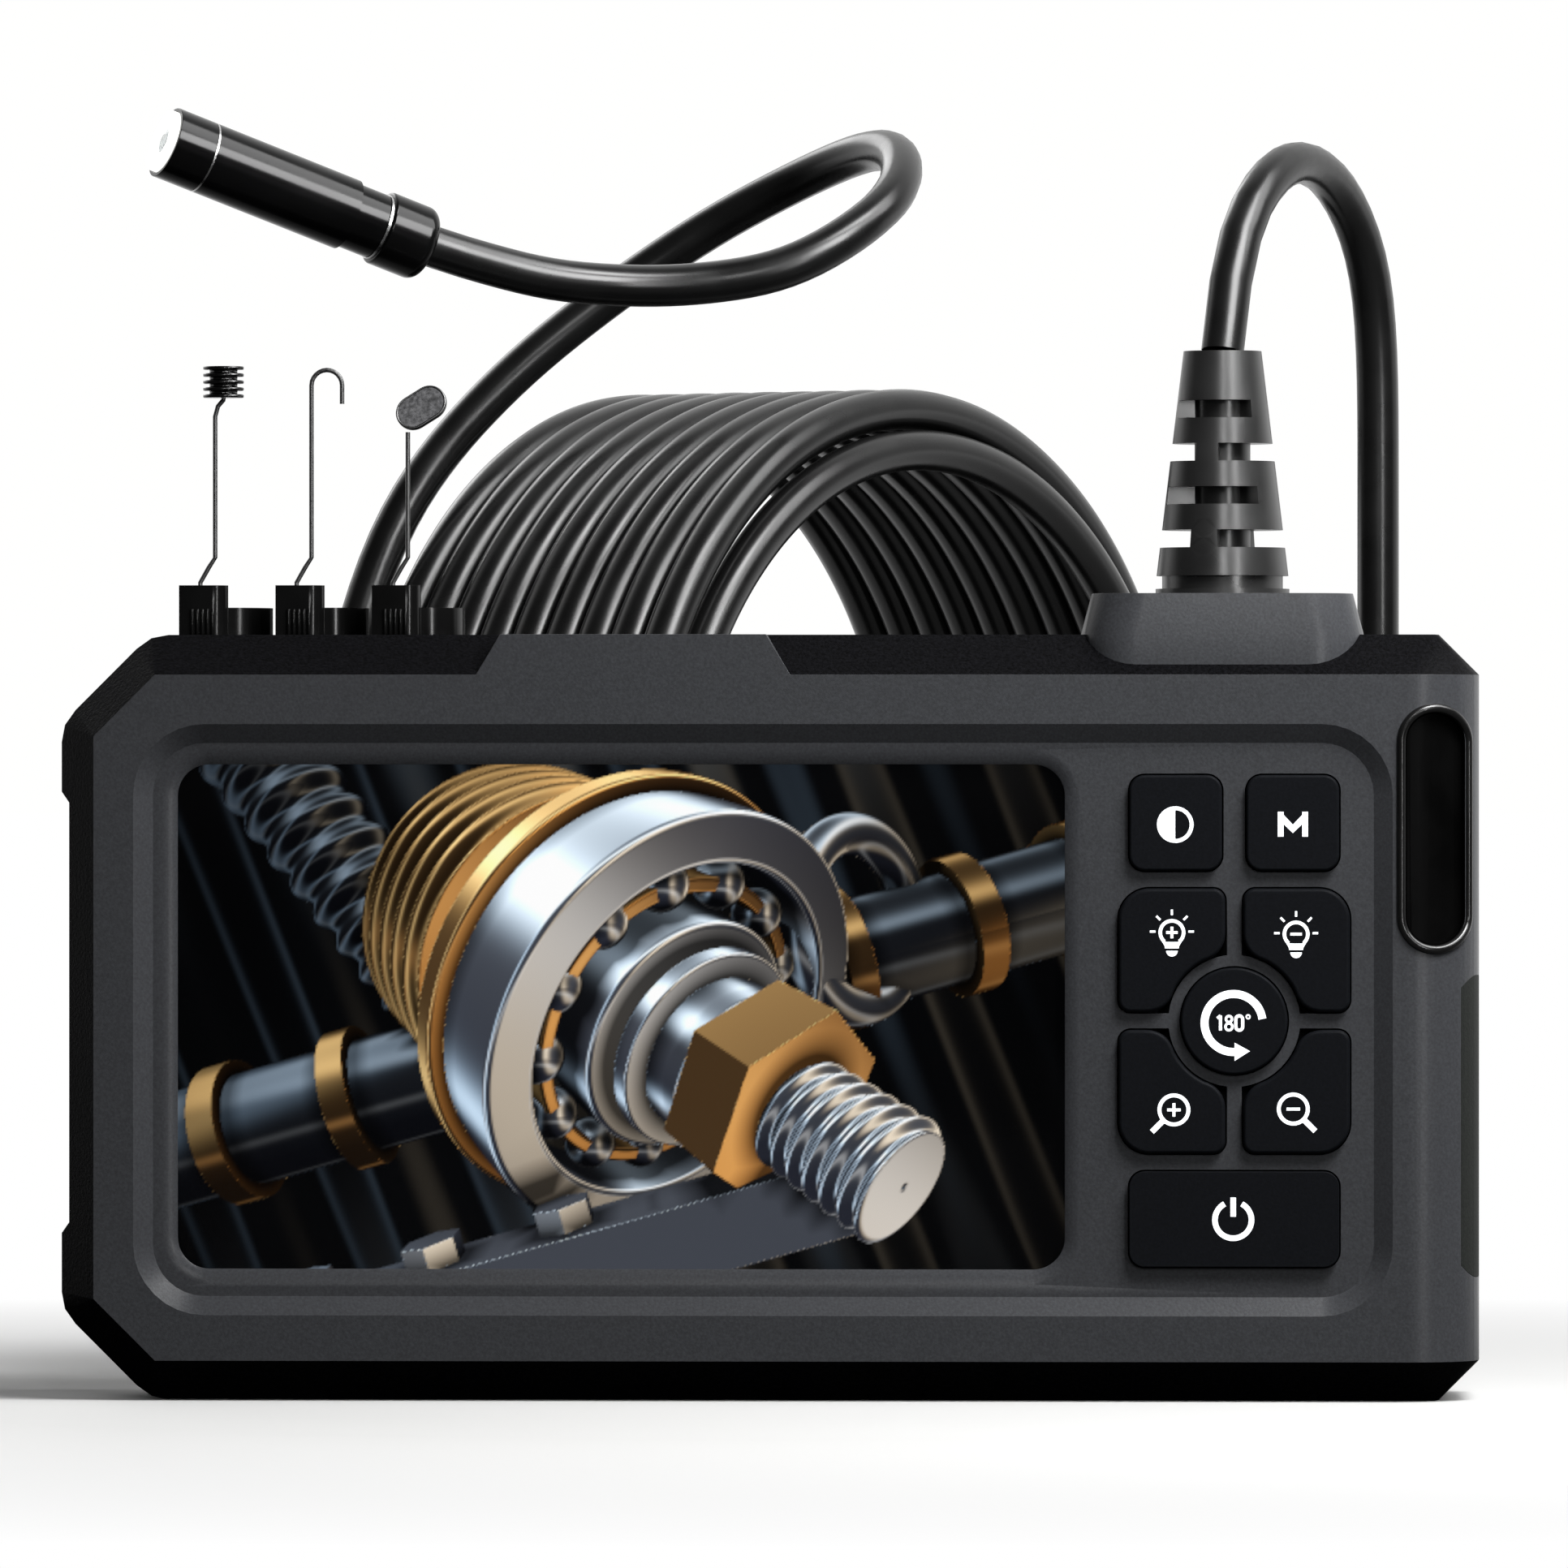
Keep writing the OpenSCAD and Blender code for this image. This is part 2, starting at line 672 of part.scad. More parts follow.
module front_shell() {
    color([0.24, 0.24, 0.26])
        difference() {
            union() {
                difference() {
                    union() {
                        intersection() {
                            envelope();
                            plate(-through, front_d) polygon(face_points);
                        }
                        plate(0, bevel_d) polygon(tab_points(0));
                    }
                    front_cavity();
                }
                for (at = main_boss) depth_rod(at, board_boss_r, front_wall_end - thin, main_board_front);
                for (at = key_boss) depth_rod(at, board_boss_r, front_wall_end - thin, key_board_front);
                for (at = case_boss) depth_rod(at, case_boss_r, front_wall_end - thin, frame_end);
            }
            sloped_recess(recess_left, recess_right, recess_low, recess_high, recess_corner_r, 0, recess_d,
                recess_slope);
            sloped_recess(screen_left - screen_step, screen_right + screen_step, screen_low - screen_step,
                screen_high + screen_step, screen_r + screen_step, recess_d, window_front - screen_lip, screen_step);
            plate(0, front_wall_end)
                even_rect(screen_left, screen_right, screen_low, screen_high, screen_r);
            plate(window_front, front_wall_end + thin)
                window_shape();
            plate(0, front_wall_end + through) all_key_shapes(key_clearance);
            plate(-through, pocket_d) port_pocket_shape(0);
            socket_hole(usb_w + 2 * socket_clearance, usb_h + 2 * socket_clearance, usb_z, pocket_d - thin,
                front_d + through);
            socket_hole(card_w + 2 * socket_clearance, card_h + 2 * socket_clearance, card_z, pocket_d - thin,
                front_d + through);
            plate(pocket_d + pocket_floor, front_d + through)
                translate([port_block_left - 1, port_block_low - 1])
                    square([cavity_right - port_block_left + 1, cavity_high - port_block_low + 1]);
            side_pad_block(pad_front, half_w - pad_t);
            for (at = main_boss) depth_rod(at, board_screw_r + 0.05, front_wall_end + 0.4, front_d + through);
            for (at = key_boss) depth_rod(at, board_screw_r + 0.05, front_wall_end + 0.4, front_d + through);
            for (at = case_boss) depth_rod(at, case_pilot_r, frame_end - case_screw_l, frame_end + through);
        }
}

module window_shape() {
    even_rect(screen_left - 1.4, screen_right + 1.4, screen_low - 1.4, screen_high + 1.4, screen_r + 1);
}

module middle_frame() {
    color([0.06, 0.06, 0.07])
        difference() {
            intersection() {
                envelope();
                plate(-through, frame_end)
                    translate([-half_w - 2, -1])
                        square([body_w + 4, body_h + 2]);
            }
            plate(-through, front_d) polygon(face_points);
            plate(-through, bevel_d) polygon(tab_points(through));
            plate(front_d - thin, frame_end + through) inner_outline();
            side_pad_block(pad_front, half_w - pad_t);
            translate([gland_at_x, gland_y, body_h - frame_wall - through])
                cylinder(r = stem_r + bore_play, h = frame_wall + 2 * through);
        }
}

module back_shell() {
    color([0.06, 0.06, 0.07])
        difference() {
            union() {
                difference() {
                    intersection() {
                        envelope();
                        plate(frame_end, body_d + through)
                            translate([-half_w - 2, -1])
                                square([body_w + 4, body_h + 2]);
                    }
                    plate(frame_end - through, back_wall_start) inner_outline();
                }
                for (at = case_boss) depth_rod(at, case_post_r, frame_end, back_wall_start + thin);
            }
            for (at = case_boss) {
                depth_rod(at, case_hole_r, frame_end - through, body_d + through);
                depth_rod(at, case_head_hole_r, body_d - case_head_d, body_d + through);
            }
        }
}

module display_window() {
    color([0.75, 0.8, 0.85, 0.4])
        plate(window_front, front_wall_end) window_shape();
}

module display_gasket() {
    color([0.1, 0.1, 0.1])
        difference() {
            plate(front_wall_end, panel_front)
                translate([screen_left - 2, screen_low - 2])
                    square([screen_w + 4, screen_h + 4]);
            plate(front_wall_end - through, panel_front + through)
                translate([screen_left - 0.5, screen_low - 0.5])
                    square([screen_w + 1, screen_h + 1]);
        }
}

module display_panel() {
    color([0.12, 0.2, 0.3])
        plate(panel_front, panel_front + panel_t)
            translate([panel_left, panel_low])
                square([panel_right - panel_left, panel_high - panel_low]);
}

module main_board() {
    chip = [14, 14, 1.4];
    color([0.05, 0.3, 0.15])
        difference() {
            union() {
                plate(main_board_front, main_board_front + board_t)
                    translate([main_left, cavity_low + board_gap])
                        square([main_right - main_left, cavity_high - cavity_low - 2 * board_gap]);
                for (x = [main_left + chip_first, main_left + chip_second])
                    plate(main_board_front + board_t - thin, main_board_front + board_t + chip[2])
                        translate([x, screen_at_z - chip[1] / 2])
                            square([chip[0], chip[1]]);
            }
            for (at = main_boss)
                depth_rod(at, board_hole_r, main_board_front - through, main_board_front + board_t + through);
        }
}

module battery_pack() {
    color([0.2, 0.3, 0.5])
        plate(back_wall_start - battery_t, back_wall_start)
            even_rect(battery_x - battery_w / 2, battery_x + battery_w / 2, screen_at_z - battery_h / 2,
                screen_at_z + battery_h / 2, 2);
}

module board_screw(at, seat) {
    depth_rod(at, board_screw_head_r, seat, seat + board_screw_head_t);
    depth_rod(at, board_screw_r, front_wall_end + 0.6, seat);
}

module board_screws() {
    color("silver") {
        for (at = main_boss) board_screw(at, main_board_front + board_t);
        for (at = key_boss) board_screw(at, key_board_front + key_board_t);
    }
}

module case_screws() {
    seat = body_d - case_head_d;
    color("silver")
        for (at = case_boss)
            difference() {
                union() {
                    depth_rod(at, case_head_r, seat, seat + case_head_t);
                    depth_rod(at, case_screw_r, seat - case_screw_l, seat);
                }
                plate(seat + case_head_t - 0.8, body_d + through) {
                    translate([at[0] - 1.4, at[1] - 0.3]) square([2.8, 0.6]);
                    translate([at[0] - 0.3, at[1] - 1.4]) square([0.6, 2.8]);
                }
            }
}

// ---- ports ----

module port_cover() {
    color([0.03, 0.03, 0.03])
        intersection() {
            translate([-cover_inset, cover_inset, 0]) envelope();
            plate(-through, pocket_d - 0.1) port_pocket_shape(-key_clearance);
        }
}

module socket(w, h, z) {
    difference() {
        socket_hole(w, h, z, socket_front, port_board_front);
        socket_hole(w - 2 * socket_wall, h - 2 * socket_wall, z, socket_front - through,
            port_board_front - 2 * socket_wall);
    }
}

module usb_socket() {
    color("silver") socket(usb_w, usb_h, usb_z);
}

module card_socket() {
    color("silver") socket(card_w, card_h, card_z);
}

module port_board() {
    color([0.05, 0.3, 0.15])
        plate(port_board_front, port_board_front + port_board_t)
            translate([port_block_left, port_block_low])
                square([half_w - frame_wall - 0.3 - port_block_left, card_z + card_h / 2 + 1 - port_block_low]);
}

module side_pad() {
    color([0.10, 0.12, 0.11])
        intersection() {
            envelope();
            side_pad_block(pad_front, half_w - pad_t);
        }
}

// ---- gland and strain relief ----

// The block's outline in plan, flared by f on each side
module gland_outline(f) {
    translate([gland_at_x, gland_y])
        even_rect(-gland_w / 2 - f, gland_w / 2 + f, -gland_d / 2 - f / 2, gland_d / 2 + f / 2, gland_r, $fn = 32);
}

module gland_block() {
    color([0.24, 0.24, 0.26])
        difference() {
            hull() {
                translate([0, 0, body_h - gland_front_drop])
                    linear_extrude(gland_front_drop)
                        gland_outline(gland_flare);
                translate([0, 0, body_h + gland_h - 0.1])
                    linear_extrude(0.1)
                        gland_outline(0);
            }
            envelope();
            translate([gland_at_x, gland_y, body_h - through])
                cylinder(r = stem_r + bore_play, h = gland_h + 2 * through);
        }
}

module gland_nut() {
    color("silver")
        translate([gland_at_x, gland_y, body_h - frame_wall - nut_t])
            difference() {
                cylinder(r = nut_r, h = nut_t, $fn = 6);
                translate([0, 0, -through]) cylinder(r = stem_r + bore_play, h = nut_t + 2 * through);
            }
}

// Two opposite slots round the core, each open over half_angle to both sides of its middle
module slot_pair(middle, half_angle, z) {
    reach = 2 * relief_r;
    for (side = [0, 180])
        rotate([0, 0, middle + side])
            translate([0, 0, z])
                linear_extrude(slot_h)
                    difference() {
                        polygon([
                            [0, 0], for (turn = [-half_angle, -half_angle / 2, 0, half_angle / 2, half_angle])
                                reach * [cos(turn), sin(turn)]
                        ]);
                        circle(slot_core_r);
                    }
}

module strain_relief() {
    slot_step = relief_l / 5.2;
    color([0.08, 0.08, 0.09])
        translate([gland_at_x, gland_y, 0])
            difference() {
                union() {
                    translate([0, 0, body_h - frame_wall - nut_t - 0.6])
                        cylinder(r = stem_r, h = frame_wall + nut_t + gland_h + 0.7);
                    translate([0, 0, body_h + gland_h]) cylinder(r = relief_r + 0.1, h = flange_t);
                    translate([0, 0, body_h + gland_h + flange_t - thin])
                        cylinder(r = neck_r, h = neck_t + 2 * thin);
                    translate([0, 0, relief_foot]) cylinder(r1 = relief_r, r2 = relief_tip_r, h = relief_l);
                }
                translate([0, 0, body_h - frame_wall - nut_t - through])
                    cylinder(r = cable_r + bore_play, h = relief_top - body_h + frame_wall + nut_t + 2 * through);
                for (level = [0, 2])
                    slot_pair(slot_turn, slot_side_half, relief_foot + slot_step * (level + 0.65));
                for (level = [1, 3])
                    slot_pair(slot_turn + 90, slot_front_half, relief_foot + slot_step * (level + 0.65));
            }
}

module cable_core() {
    color([0.05, 0.05, 0.05])
        translate([gland_at_x, gland_y, core_bottom])
            cylinder(r = cable_r, h = relief_top - core_bottom);
}

// The cable inside the housing, from the gland round to the main board's connector
module internal_lead() {
    color([0.05, 0.05, 0.05]) {
        translate([gland_at_x - lead_bend_r, gland_y, core_bottom])
            rotate([90, 0, 0])
                rotate([0, 0, -90])
                    rotate_extrude(angle = 90)
                        translate([lead_bend_r, 0]) circle(cable_r);
        translate([gland_at_x - lead_bend_r, gland_y, core_bottom - lead_bend_r])
            rotate([0, -90, 0])
                cylinder(r = cable_r, h = gland_at_x - lead_bend_r - main_right + connector_l);
    }
}

module lead_connector() {
    color("ivory")
        plate(main_board_front + board_t, gland_y + body_d / 2 + cable_r + connector_wall)
            translate([main_right - connector_l - connector_w, core_bottom - lead_bend_r - connector_h / 2])
                square([connector_w, connector_h]);
}

// ---- cable ----

// A frame of one ring of the swept tube: two directions square to the way d that the cable runs
function side_of(d) = let(s = abs(d[2]) > 0.9 ? cross(d, [0, 1, 0]) : cross(d, [0, 0, 1])) s / norm(s);
function unit(v) = v / norm(v);
function run_at(p, i) = unit(p[min(i + 1, len(p) - 1)] - p[max(i - 1, 0)]);
function carry(s, d) = unit(s - (s * d) * d);
function frames(p, i = 0, s = undef) =
    i == len(p) ? [] : let(d = run_at(p, i), n = carry(s == undef ? side_of(d) : s, d))
        concat([[n, cross(d, n)]], frames(p, i + 1, n));

module swept_tube(p, r, sides = 8) {
    f = frames(p);
    last = (len(p) - 1) * sides;
    points = [
        for (i = [0:len(p) - 1], k = [0:sides - 1])
            p[i] + r * (cos(360 * k / sides) * f[i][0] + sin(360 * k / sides) * f[i][1])
    ];
    walls = [
        for (i = [0:len(p) - 2], k = [0:sides - 1])
            let(a = i * sides + k, b = i * sides + (k + 1) % sides)
                each [[a, a + sides, b + sides], [a, b + sides, b]]
    ];
    polyhedron(points, concat(
        [[for (k = [0:sides - 1]) k]], walls, [[for (k = [sides - 1:-1:0]) last + k]]
    ));
}

module cable_loop() {
    color([0.05, 0.05, 0.05])
        swept_tube(concat([[gland_at_x, gland_y, relief_top]], loop_points, [coil_start]), cable_r);
}

module cable_lead() {
    color([0.05, 0.05, 0.05])
        swept_tube(concat([coil_end], lead_points, [probe_rear, probe_tip + tube_end * probe_dir]), cable_r);
}

// The outer shape of the coil: an outer layer, and one turn that starts inside it at its front end
module cable_coil() {
    color([0.05, 0.05, 0.05])
        translate([coil_x, coil_y, coil_z])
            rotate([0, 0, -coil_turn])
                rotate([0, -90, 0])
                    rotate_extrude($fn = 96)
                        polygon([
                            [coil_inner_r - cable_r, -cable_r], [coil_r + cable_r, -cable_r],
                            [coil_r + cable_r, coil_l], [coil_r - cable_r, coil_l],
                            [coil_r - cable_r, cable_r], [coil_inner_r - cable_r, cable_r]
                        ]);
}

// ---- probe ----

module on_probe() {
    translate(probe_tip)
        rotate([0, 90 + probe_fall, probe_turn])
            children();
}

module ring(r_out, r_in, z0, z1) {
    difference() {
        translate([0, 0, z0]) cylinder(r = r_out, h = z1 - z0);
        translate([0, 0, z0 - through]) cylinder(r = r_in, h = z1 - z0 + 2 * through);
    }
}

module probe_window() {
    color([0.95, 0.96, 1])
        on_probe() ring(probe_r - 0.5, 1.7, 0, 1);
}

module probe_lens() {
    color([0.1, 0.1, 0.2])
        on_probe()
            intersection() {
                translate([0, 0, 0.1]) cylinder(r = 1.65, h = 1.5);
                translate([0, 0, 3.4]) sphere(r = 3.4);
            }
}

module led_ring() {
    color("white")
        on_probe() {
            ring(probe_bore_r, camera_r + 0.05, camera_front, camera_front + 0.6);
            for (k = [0:5])
                rotate([0, 0, 60 * k])
                    translate([2.4, -0.35, 1.05])
                        cube([0.7, 0.7, 0.65]);
        }
}

module camera_module() {
    color([0.1, 0.1, 0.1])
        on_probe() translate([0, 0, camera_front]) cylinder(r = camera_r, h = camera_l);
}

module probe_head() {
    color([0.06, 0.06, 0.07])
        on_probe() {
            ring(probe_r, probe_r - 0.45, probe_lip, probe_head_l);
            ring(probe_r - 0.45 + thin, probe_bore_r, 1, probe_head_l);
        }
}

module seam_ring() {
    color("silver")
        on_probe() ring(probe_r, probe_bore_r, probe_head_l, tube_start);
}

module probe_tube() {
    color([0.06, 0.06, 0.07])
        on_probe() ring(probe_r, probe_bore_r, tube_start, tube_end);
}

module probe_board() {
    color([0.05, 0.3, 0.15])
        on_probe()
            translate([-0.5, -probe_bore_r + 0.7, camera_front + camera_l])
                cube([1, 2 * probe_bore_r - 1.4, tube_end - neck_plug_l - camera_front - camera_l]);
}

module probe_neck() {
    color([0.06, 0.06, 0.07])
        on_probe()
            difference() {
                union() {
                    translate([0, 0, tube_end - neck_plug_l]) cylinder(r = probe_bore_r, h = neck_plug_l);
                    translate([0, 0, tube_end]) cylinder(r = neck_out_r, h = probe_neck_l);
                }
                translate([0, 0, tube_end]) cylinder(r = cable_r, h = probe_neck_l + through);
            }
}

module probe_ring() {
    color("silver")
        on_probe() ring(neck_out_r + 0.1, cable_r, neck_end, neck_end + probe_ring_t);
}

module probe_collar() {
    start = neck_end + probe_ring_t;
    color([0.06, 0.06, 0.07])
        on_probe()
            rotate_extrude()
                difference() {
                    translate([cable_r, start]) square([probe_collar_r - cable_r, probe_l - start]);
                    corner_waste([probe_collar_r, probe_l], collar_round, -1, -1);
                }
}

// ---- clip-on tools: the middle of the collar is at x, and its foot stands on the housing ----

module tool_at(index) {
    translate([tool_x + index * tool_pitch, tool_y, body_h]) children();
}

module tool_collar(index) {
    color([0.05, 0.05, 0.05])
        tool_at(index)
            difference() {
                union() {
                    cylinder(r = tool_r, h = tool_h);
                    translate([tool_block_left, tool_block_front, 0])
                        cube([tool_block_right - tool_barrel_r - tool_block_left, -tool_block_front - tool_bore_r + 1.2,
                            tool_block_h]);
                    translate([tool_block_right - tool_barrel_r, tool_block_front + tool_barrel_r, 0])
                        cylinder(r = tool_barrel_r, h = tool_block_h);
                    for (k = [0:rib_count - 1])
                        translate([tool_block_left + 1.4 + k * 0.55, tool_block_front, 0])
                            cylinder(r = rib_r, h = tool_h - 0.2, $fn = 16);
                }
                translate([0, 0, -through]) cylinder(r = tool_bore_r, h = tool_block_h + 2 * through);
                translate([tool_wire_x, tool_wire_y, tool_block_h - 2])
                    cylinder(r = tool_wire_r, h = 2 + through, $fn = 16);
            }
}

module wire(index, points) {
    color("gray")
        tool_at(index) swept_tube(points, tool_wire_r, 12);
}

// The lower part that all three wires share, up to height top
function wire_foot(top) = [
    [tool_wire_x, tool_wire_y, tool_block_h - 1.9], [tool_wire_x, tool_wire_y, tool_block_h + 0.3],
    [tool_wire_x + 0.9, tool_wire_y, tool_wire_bend_z - 0.7],
    [tool_wire_x + 1.6, tool_wire_y, tool_wire_bend_z + 0.4],
    [tool_wire_x + 1.6, tool_wire_y, top]
];

module magnet_collar() { tool_collar(0); }
module hook_collar() { tool_collar(1); }
module mirror_collar() { tool_collar(2); }

magnet_z = 25.6;
magnet_h = 3.4;
magnet_r = 2.2;
magnet_x = tool_wire_x + 2.5;
module magnet_wire() {
    wire(0, concat(wire_foot(magnet_z - 2), [
        [tool_wire_x + 1.9, tool_wire_y, magnet_z - 0.9], [magnet_x, tool_wire_y, magnet_z - 0.2],
        [magnet_x, tool_wire_y, magnet_z]
    ]));
}

module magnet_head() {
    discs = 5;
    pitch = magnet_h / (discs - 0.5);
    color([0.1, 0.1, 0.1])
        tool_at(0)
            translate([magnet_x, tool_wire_y, magnet_z]) {
                cylinder(r = magnet_r - 0.7, h = magnet_h);
                for (k = [0:discs - 1])
                    translate([0, 0, k * pitch]) cylinder(r = magnet_r, h = pitch / 2);
            }
}

hook_top = 28.6;
hook_r = 1.65;
module hook_wire() {
    start = tool_wire_x + 1.6;
    wire(1, concat(wire_foot(hook_top - hook_r - 1), [
        for (turn = [180:-15:0])
            [start + hook_r + hook_r * cos(turn), tool_wire_y, hook_top - hook_r + hook_r * sin(turn)]
    ], [[start + 2 * hook_r, tool_wire_y, hook_top - hook_r - 2]]));
}

mirror_z = 21.9;
mirror_w = 5.8;
mirror_h = 3.8;
mirror_t = 0.7;
mirror_tilt = 32;
mirror_lean = 18;
module mirror_wire() {
    wire(2, wire_foot(mirror_z));
}

// Local frame of the mirror: across in x, thickness in z, its low end at the wire's tip
module on_mirror() {
    tool_at(2)
        translate([tool_wire_x + 1.6, tool_wire_y, mirror_z])
            rotate([0, -mirror_tilt, 0])
                rotate([90 - mirror_lean, 0, 0])
                    translate([mirror_w / 2 - 0.3, mirror_h / 2 - 0.35, 0])
                        children();
}

module oval(w, h) {
    square([w - h, h], center = true);
    for (side = [-1, 1]) translate([side * (w - h) / 2, 0]) circle(h / 2);
}

module mirror_frame() {
    color("dimgray")
        on_mirror()
            difference() {
                translate([0, 0, -mirror_t / 2]) linear_extrude(mirror_t) oval(mirror_w, mirror_h);
                translate([0, 0, 0]) linear_extrude(mirror_t) oval(mirror_w - 0.5, mirror_h - 0.5);
            }
}

module mirror_glass() {
    color("silver")
        on_mirror()
            linear_extrude(mirror_t / 2 - 0.05) oval(mirror_w - 0.5, mirror_h - 0.5);
}

front_shell();
middle_frame();
back_shell();
display_window();
display_gasket();
display_panel();
main_board();
battery_pack();
key_board();
key_switches();
keypad_mat();
key_contrast();
key_menu();
key_light_up();
key_light_down();
key_rotate();
key_zoom_in();
key_zoom_out();
key_power();
port_cover();
usb_socket();
card_socket();
port_board();
side_pad();
case_screws();
board_screws();
gland_block();
gland_nut();
strain_relief();
cable_core();
internal_lead();
lead_connector();
cable_loop();
cable_coil();
cable_lead();
probe_window();
probe_lens();
led_ring();
camera_module();
probe_head();
seam_ring();
probe_tube();
probe_board();
probe_neck();
probe_ring();
probe_collar();
magnet_collar();
magnet_wire();
magnet_head();
hook_collar();
hook_wire();
mirror_collar();
mirror_wire();
mirror_frame();
mirror_glass();
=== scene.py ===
"""The looks of the inspection camera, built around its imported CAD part. Metres, in the part's own frame."""

import json
import math

import bmesh
import bpy
import numpy as np
from mathutils import Matrix, Vector
from mathutils.bvhtree import BVHTree
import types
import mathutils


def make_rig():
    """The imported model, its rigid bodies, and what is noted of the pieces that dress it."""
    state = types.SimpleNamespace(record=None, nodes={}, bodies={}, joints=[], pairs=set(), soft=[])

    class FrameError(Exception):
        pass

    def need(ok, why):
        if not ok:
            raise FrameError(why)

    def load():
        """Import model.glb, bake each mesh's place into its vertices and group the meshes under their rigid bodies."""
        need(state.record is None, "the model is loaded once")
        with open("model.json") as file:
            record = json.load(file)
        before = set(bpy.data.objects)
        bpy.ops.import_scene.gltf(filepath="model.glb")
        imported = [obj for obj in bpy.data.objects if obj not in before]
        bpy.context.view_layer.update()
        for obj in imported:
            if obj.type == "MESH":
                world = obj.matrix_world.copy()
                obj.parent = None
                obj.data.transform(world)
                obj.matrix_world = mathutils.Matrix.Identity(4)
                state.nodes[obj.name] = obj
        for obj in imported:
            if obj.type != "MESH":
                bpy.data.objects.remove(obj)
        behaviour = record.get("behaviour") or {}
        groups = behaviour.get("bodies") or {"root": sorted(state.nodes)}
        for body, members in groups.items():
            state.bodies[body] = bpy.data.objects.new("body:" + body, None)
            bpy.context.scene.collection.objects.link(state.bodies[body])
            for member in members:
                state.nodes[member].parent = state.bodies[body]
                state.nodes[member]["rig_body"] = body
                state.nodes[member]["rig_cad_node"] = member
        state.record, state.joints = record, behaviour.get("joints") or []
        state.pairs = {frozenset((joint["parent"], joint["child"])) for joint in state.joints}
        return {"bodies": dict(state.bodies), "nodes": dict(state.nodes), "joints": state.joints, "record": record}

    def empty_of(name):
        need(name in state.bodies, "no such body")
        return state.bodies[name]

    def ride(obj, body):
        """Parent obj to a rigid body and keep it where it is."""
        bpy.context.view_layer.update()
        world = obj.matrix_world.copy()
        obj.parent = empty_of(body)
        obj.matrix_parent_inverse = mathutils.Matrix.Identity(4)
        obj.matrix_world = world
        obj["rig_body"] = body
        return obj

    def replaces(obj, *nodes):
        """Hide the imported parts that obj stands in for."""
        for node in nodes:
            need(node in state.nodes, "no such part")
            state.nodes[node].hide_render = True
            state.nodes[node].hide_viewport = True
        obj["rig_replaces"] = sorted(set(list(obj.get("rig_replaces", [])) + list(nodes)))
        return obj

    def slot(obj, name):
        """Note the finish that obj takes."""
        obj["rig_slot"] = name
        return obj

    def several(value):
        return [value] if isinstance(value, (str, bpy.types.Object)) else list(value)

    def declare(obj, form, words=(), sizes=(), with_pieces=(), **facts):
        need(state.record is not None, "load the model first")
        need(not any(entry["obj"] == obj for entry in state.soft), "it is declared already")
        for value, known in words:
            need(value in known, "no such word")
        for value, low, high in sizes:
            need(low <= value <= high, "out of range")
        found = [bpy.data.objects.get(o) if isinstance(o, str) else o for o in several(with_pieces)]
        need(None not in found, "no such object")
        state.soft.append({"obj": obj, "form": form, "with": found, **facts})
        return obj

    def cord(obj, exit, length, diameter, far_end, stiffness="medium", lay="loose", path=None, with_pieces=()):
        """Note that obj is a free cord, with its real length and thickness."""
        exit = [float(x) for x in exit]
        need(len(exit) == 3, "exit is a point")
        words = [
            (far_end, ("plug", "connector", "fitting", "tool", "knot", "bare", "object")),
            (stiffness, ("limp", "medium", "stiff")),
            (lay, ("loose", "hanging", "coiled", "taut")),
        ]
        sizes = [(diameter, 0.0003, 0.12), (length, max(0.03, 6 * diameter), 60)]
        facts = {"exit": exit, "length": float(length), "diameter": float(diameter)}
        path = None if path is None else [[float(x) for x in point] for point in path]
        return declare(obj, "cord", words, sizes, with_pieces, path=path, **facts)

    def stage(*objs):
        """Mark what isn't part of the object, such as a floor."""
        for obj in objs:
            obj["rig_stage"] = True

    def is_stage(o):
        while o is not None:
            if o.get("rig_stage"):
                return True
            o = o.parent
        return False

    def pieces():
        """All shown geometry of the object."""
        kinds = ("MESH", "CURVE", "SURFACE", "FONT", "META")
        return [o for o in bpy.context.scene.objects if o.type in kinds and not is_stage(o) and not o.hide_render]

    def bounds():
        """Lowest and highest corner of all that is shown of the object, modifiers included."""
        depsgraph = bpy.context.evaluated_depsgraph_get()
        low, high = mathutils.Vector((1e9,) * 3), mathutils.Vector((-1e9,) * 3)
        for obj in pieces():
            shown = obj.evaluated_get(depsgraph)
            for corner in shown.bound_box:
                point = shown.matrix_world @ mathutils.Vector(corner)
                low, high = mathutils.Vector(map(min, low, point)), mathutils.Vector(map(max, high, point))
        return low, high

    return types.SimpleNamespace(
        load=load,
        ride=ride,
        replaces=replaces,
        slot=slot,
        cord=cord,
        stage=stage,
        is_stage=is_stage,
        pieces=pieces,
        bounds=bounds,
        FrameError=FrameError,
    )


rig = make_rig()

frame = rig.load()
cad_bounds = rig.bounds()
MM = 0.001
HOUSING = "housing"


def add_object(name, data):
    made = bpy.data.objects.new(name, data)
    bpy.context.scene.collection.objects.link(made)
    return made


# ---- image points: x and y in the photograph, scaled to a long side of 1568 ----

W = H = 1568
POINTS = {
    "left_edge": (60.5, 790.0),
    "right_edge": (1477.1, 1100.0),
    "top_edge": (260.0, 634.7),
    "bottom_edge": (600.0, 1401.6),
    "screen_low_left": (174.5, 1270.1),
    "screen_high_right": (1064.8, 764.5),
    "relief_tip": (1222.3, 352.2),
    "port_cover": (1434.5, 829.0),
    "contrast_icon": (1175.2, 824.6),
    "menu_icon": (1292.9, 824.2),
    "light_up_icon": (1171.9, 932.5),
    "light_down_icon": (1296.1, 934.1),
    "rotate_icon": (1233.6, 1023.0),
    "zoom_in_icon": (1171.1, 1112.7),
    "zoom_out_icon": (1296.1, 1111.9),
    "power_icon": (1233.2, 1220.0),
}

# ---- camera ----

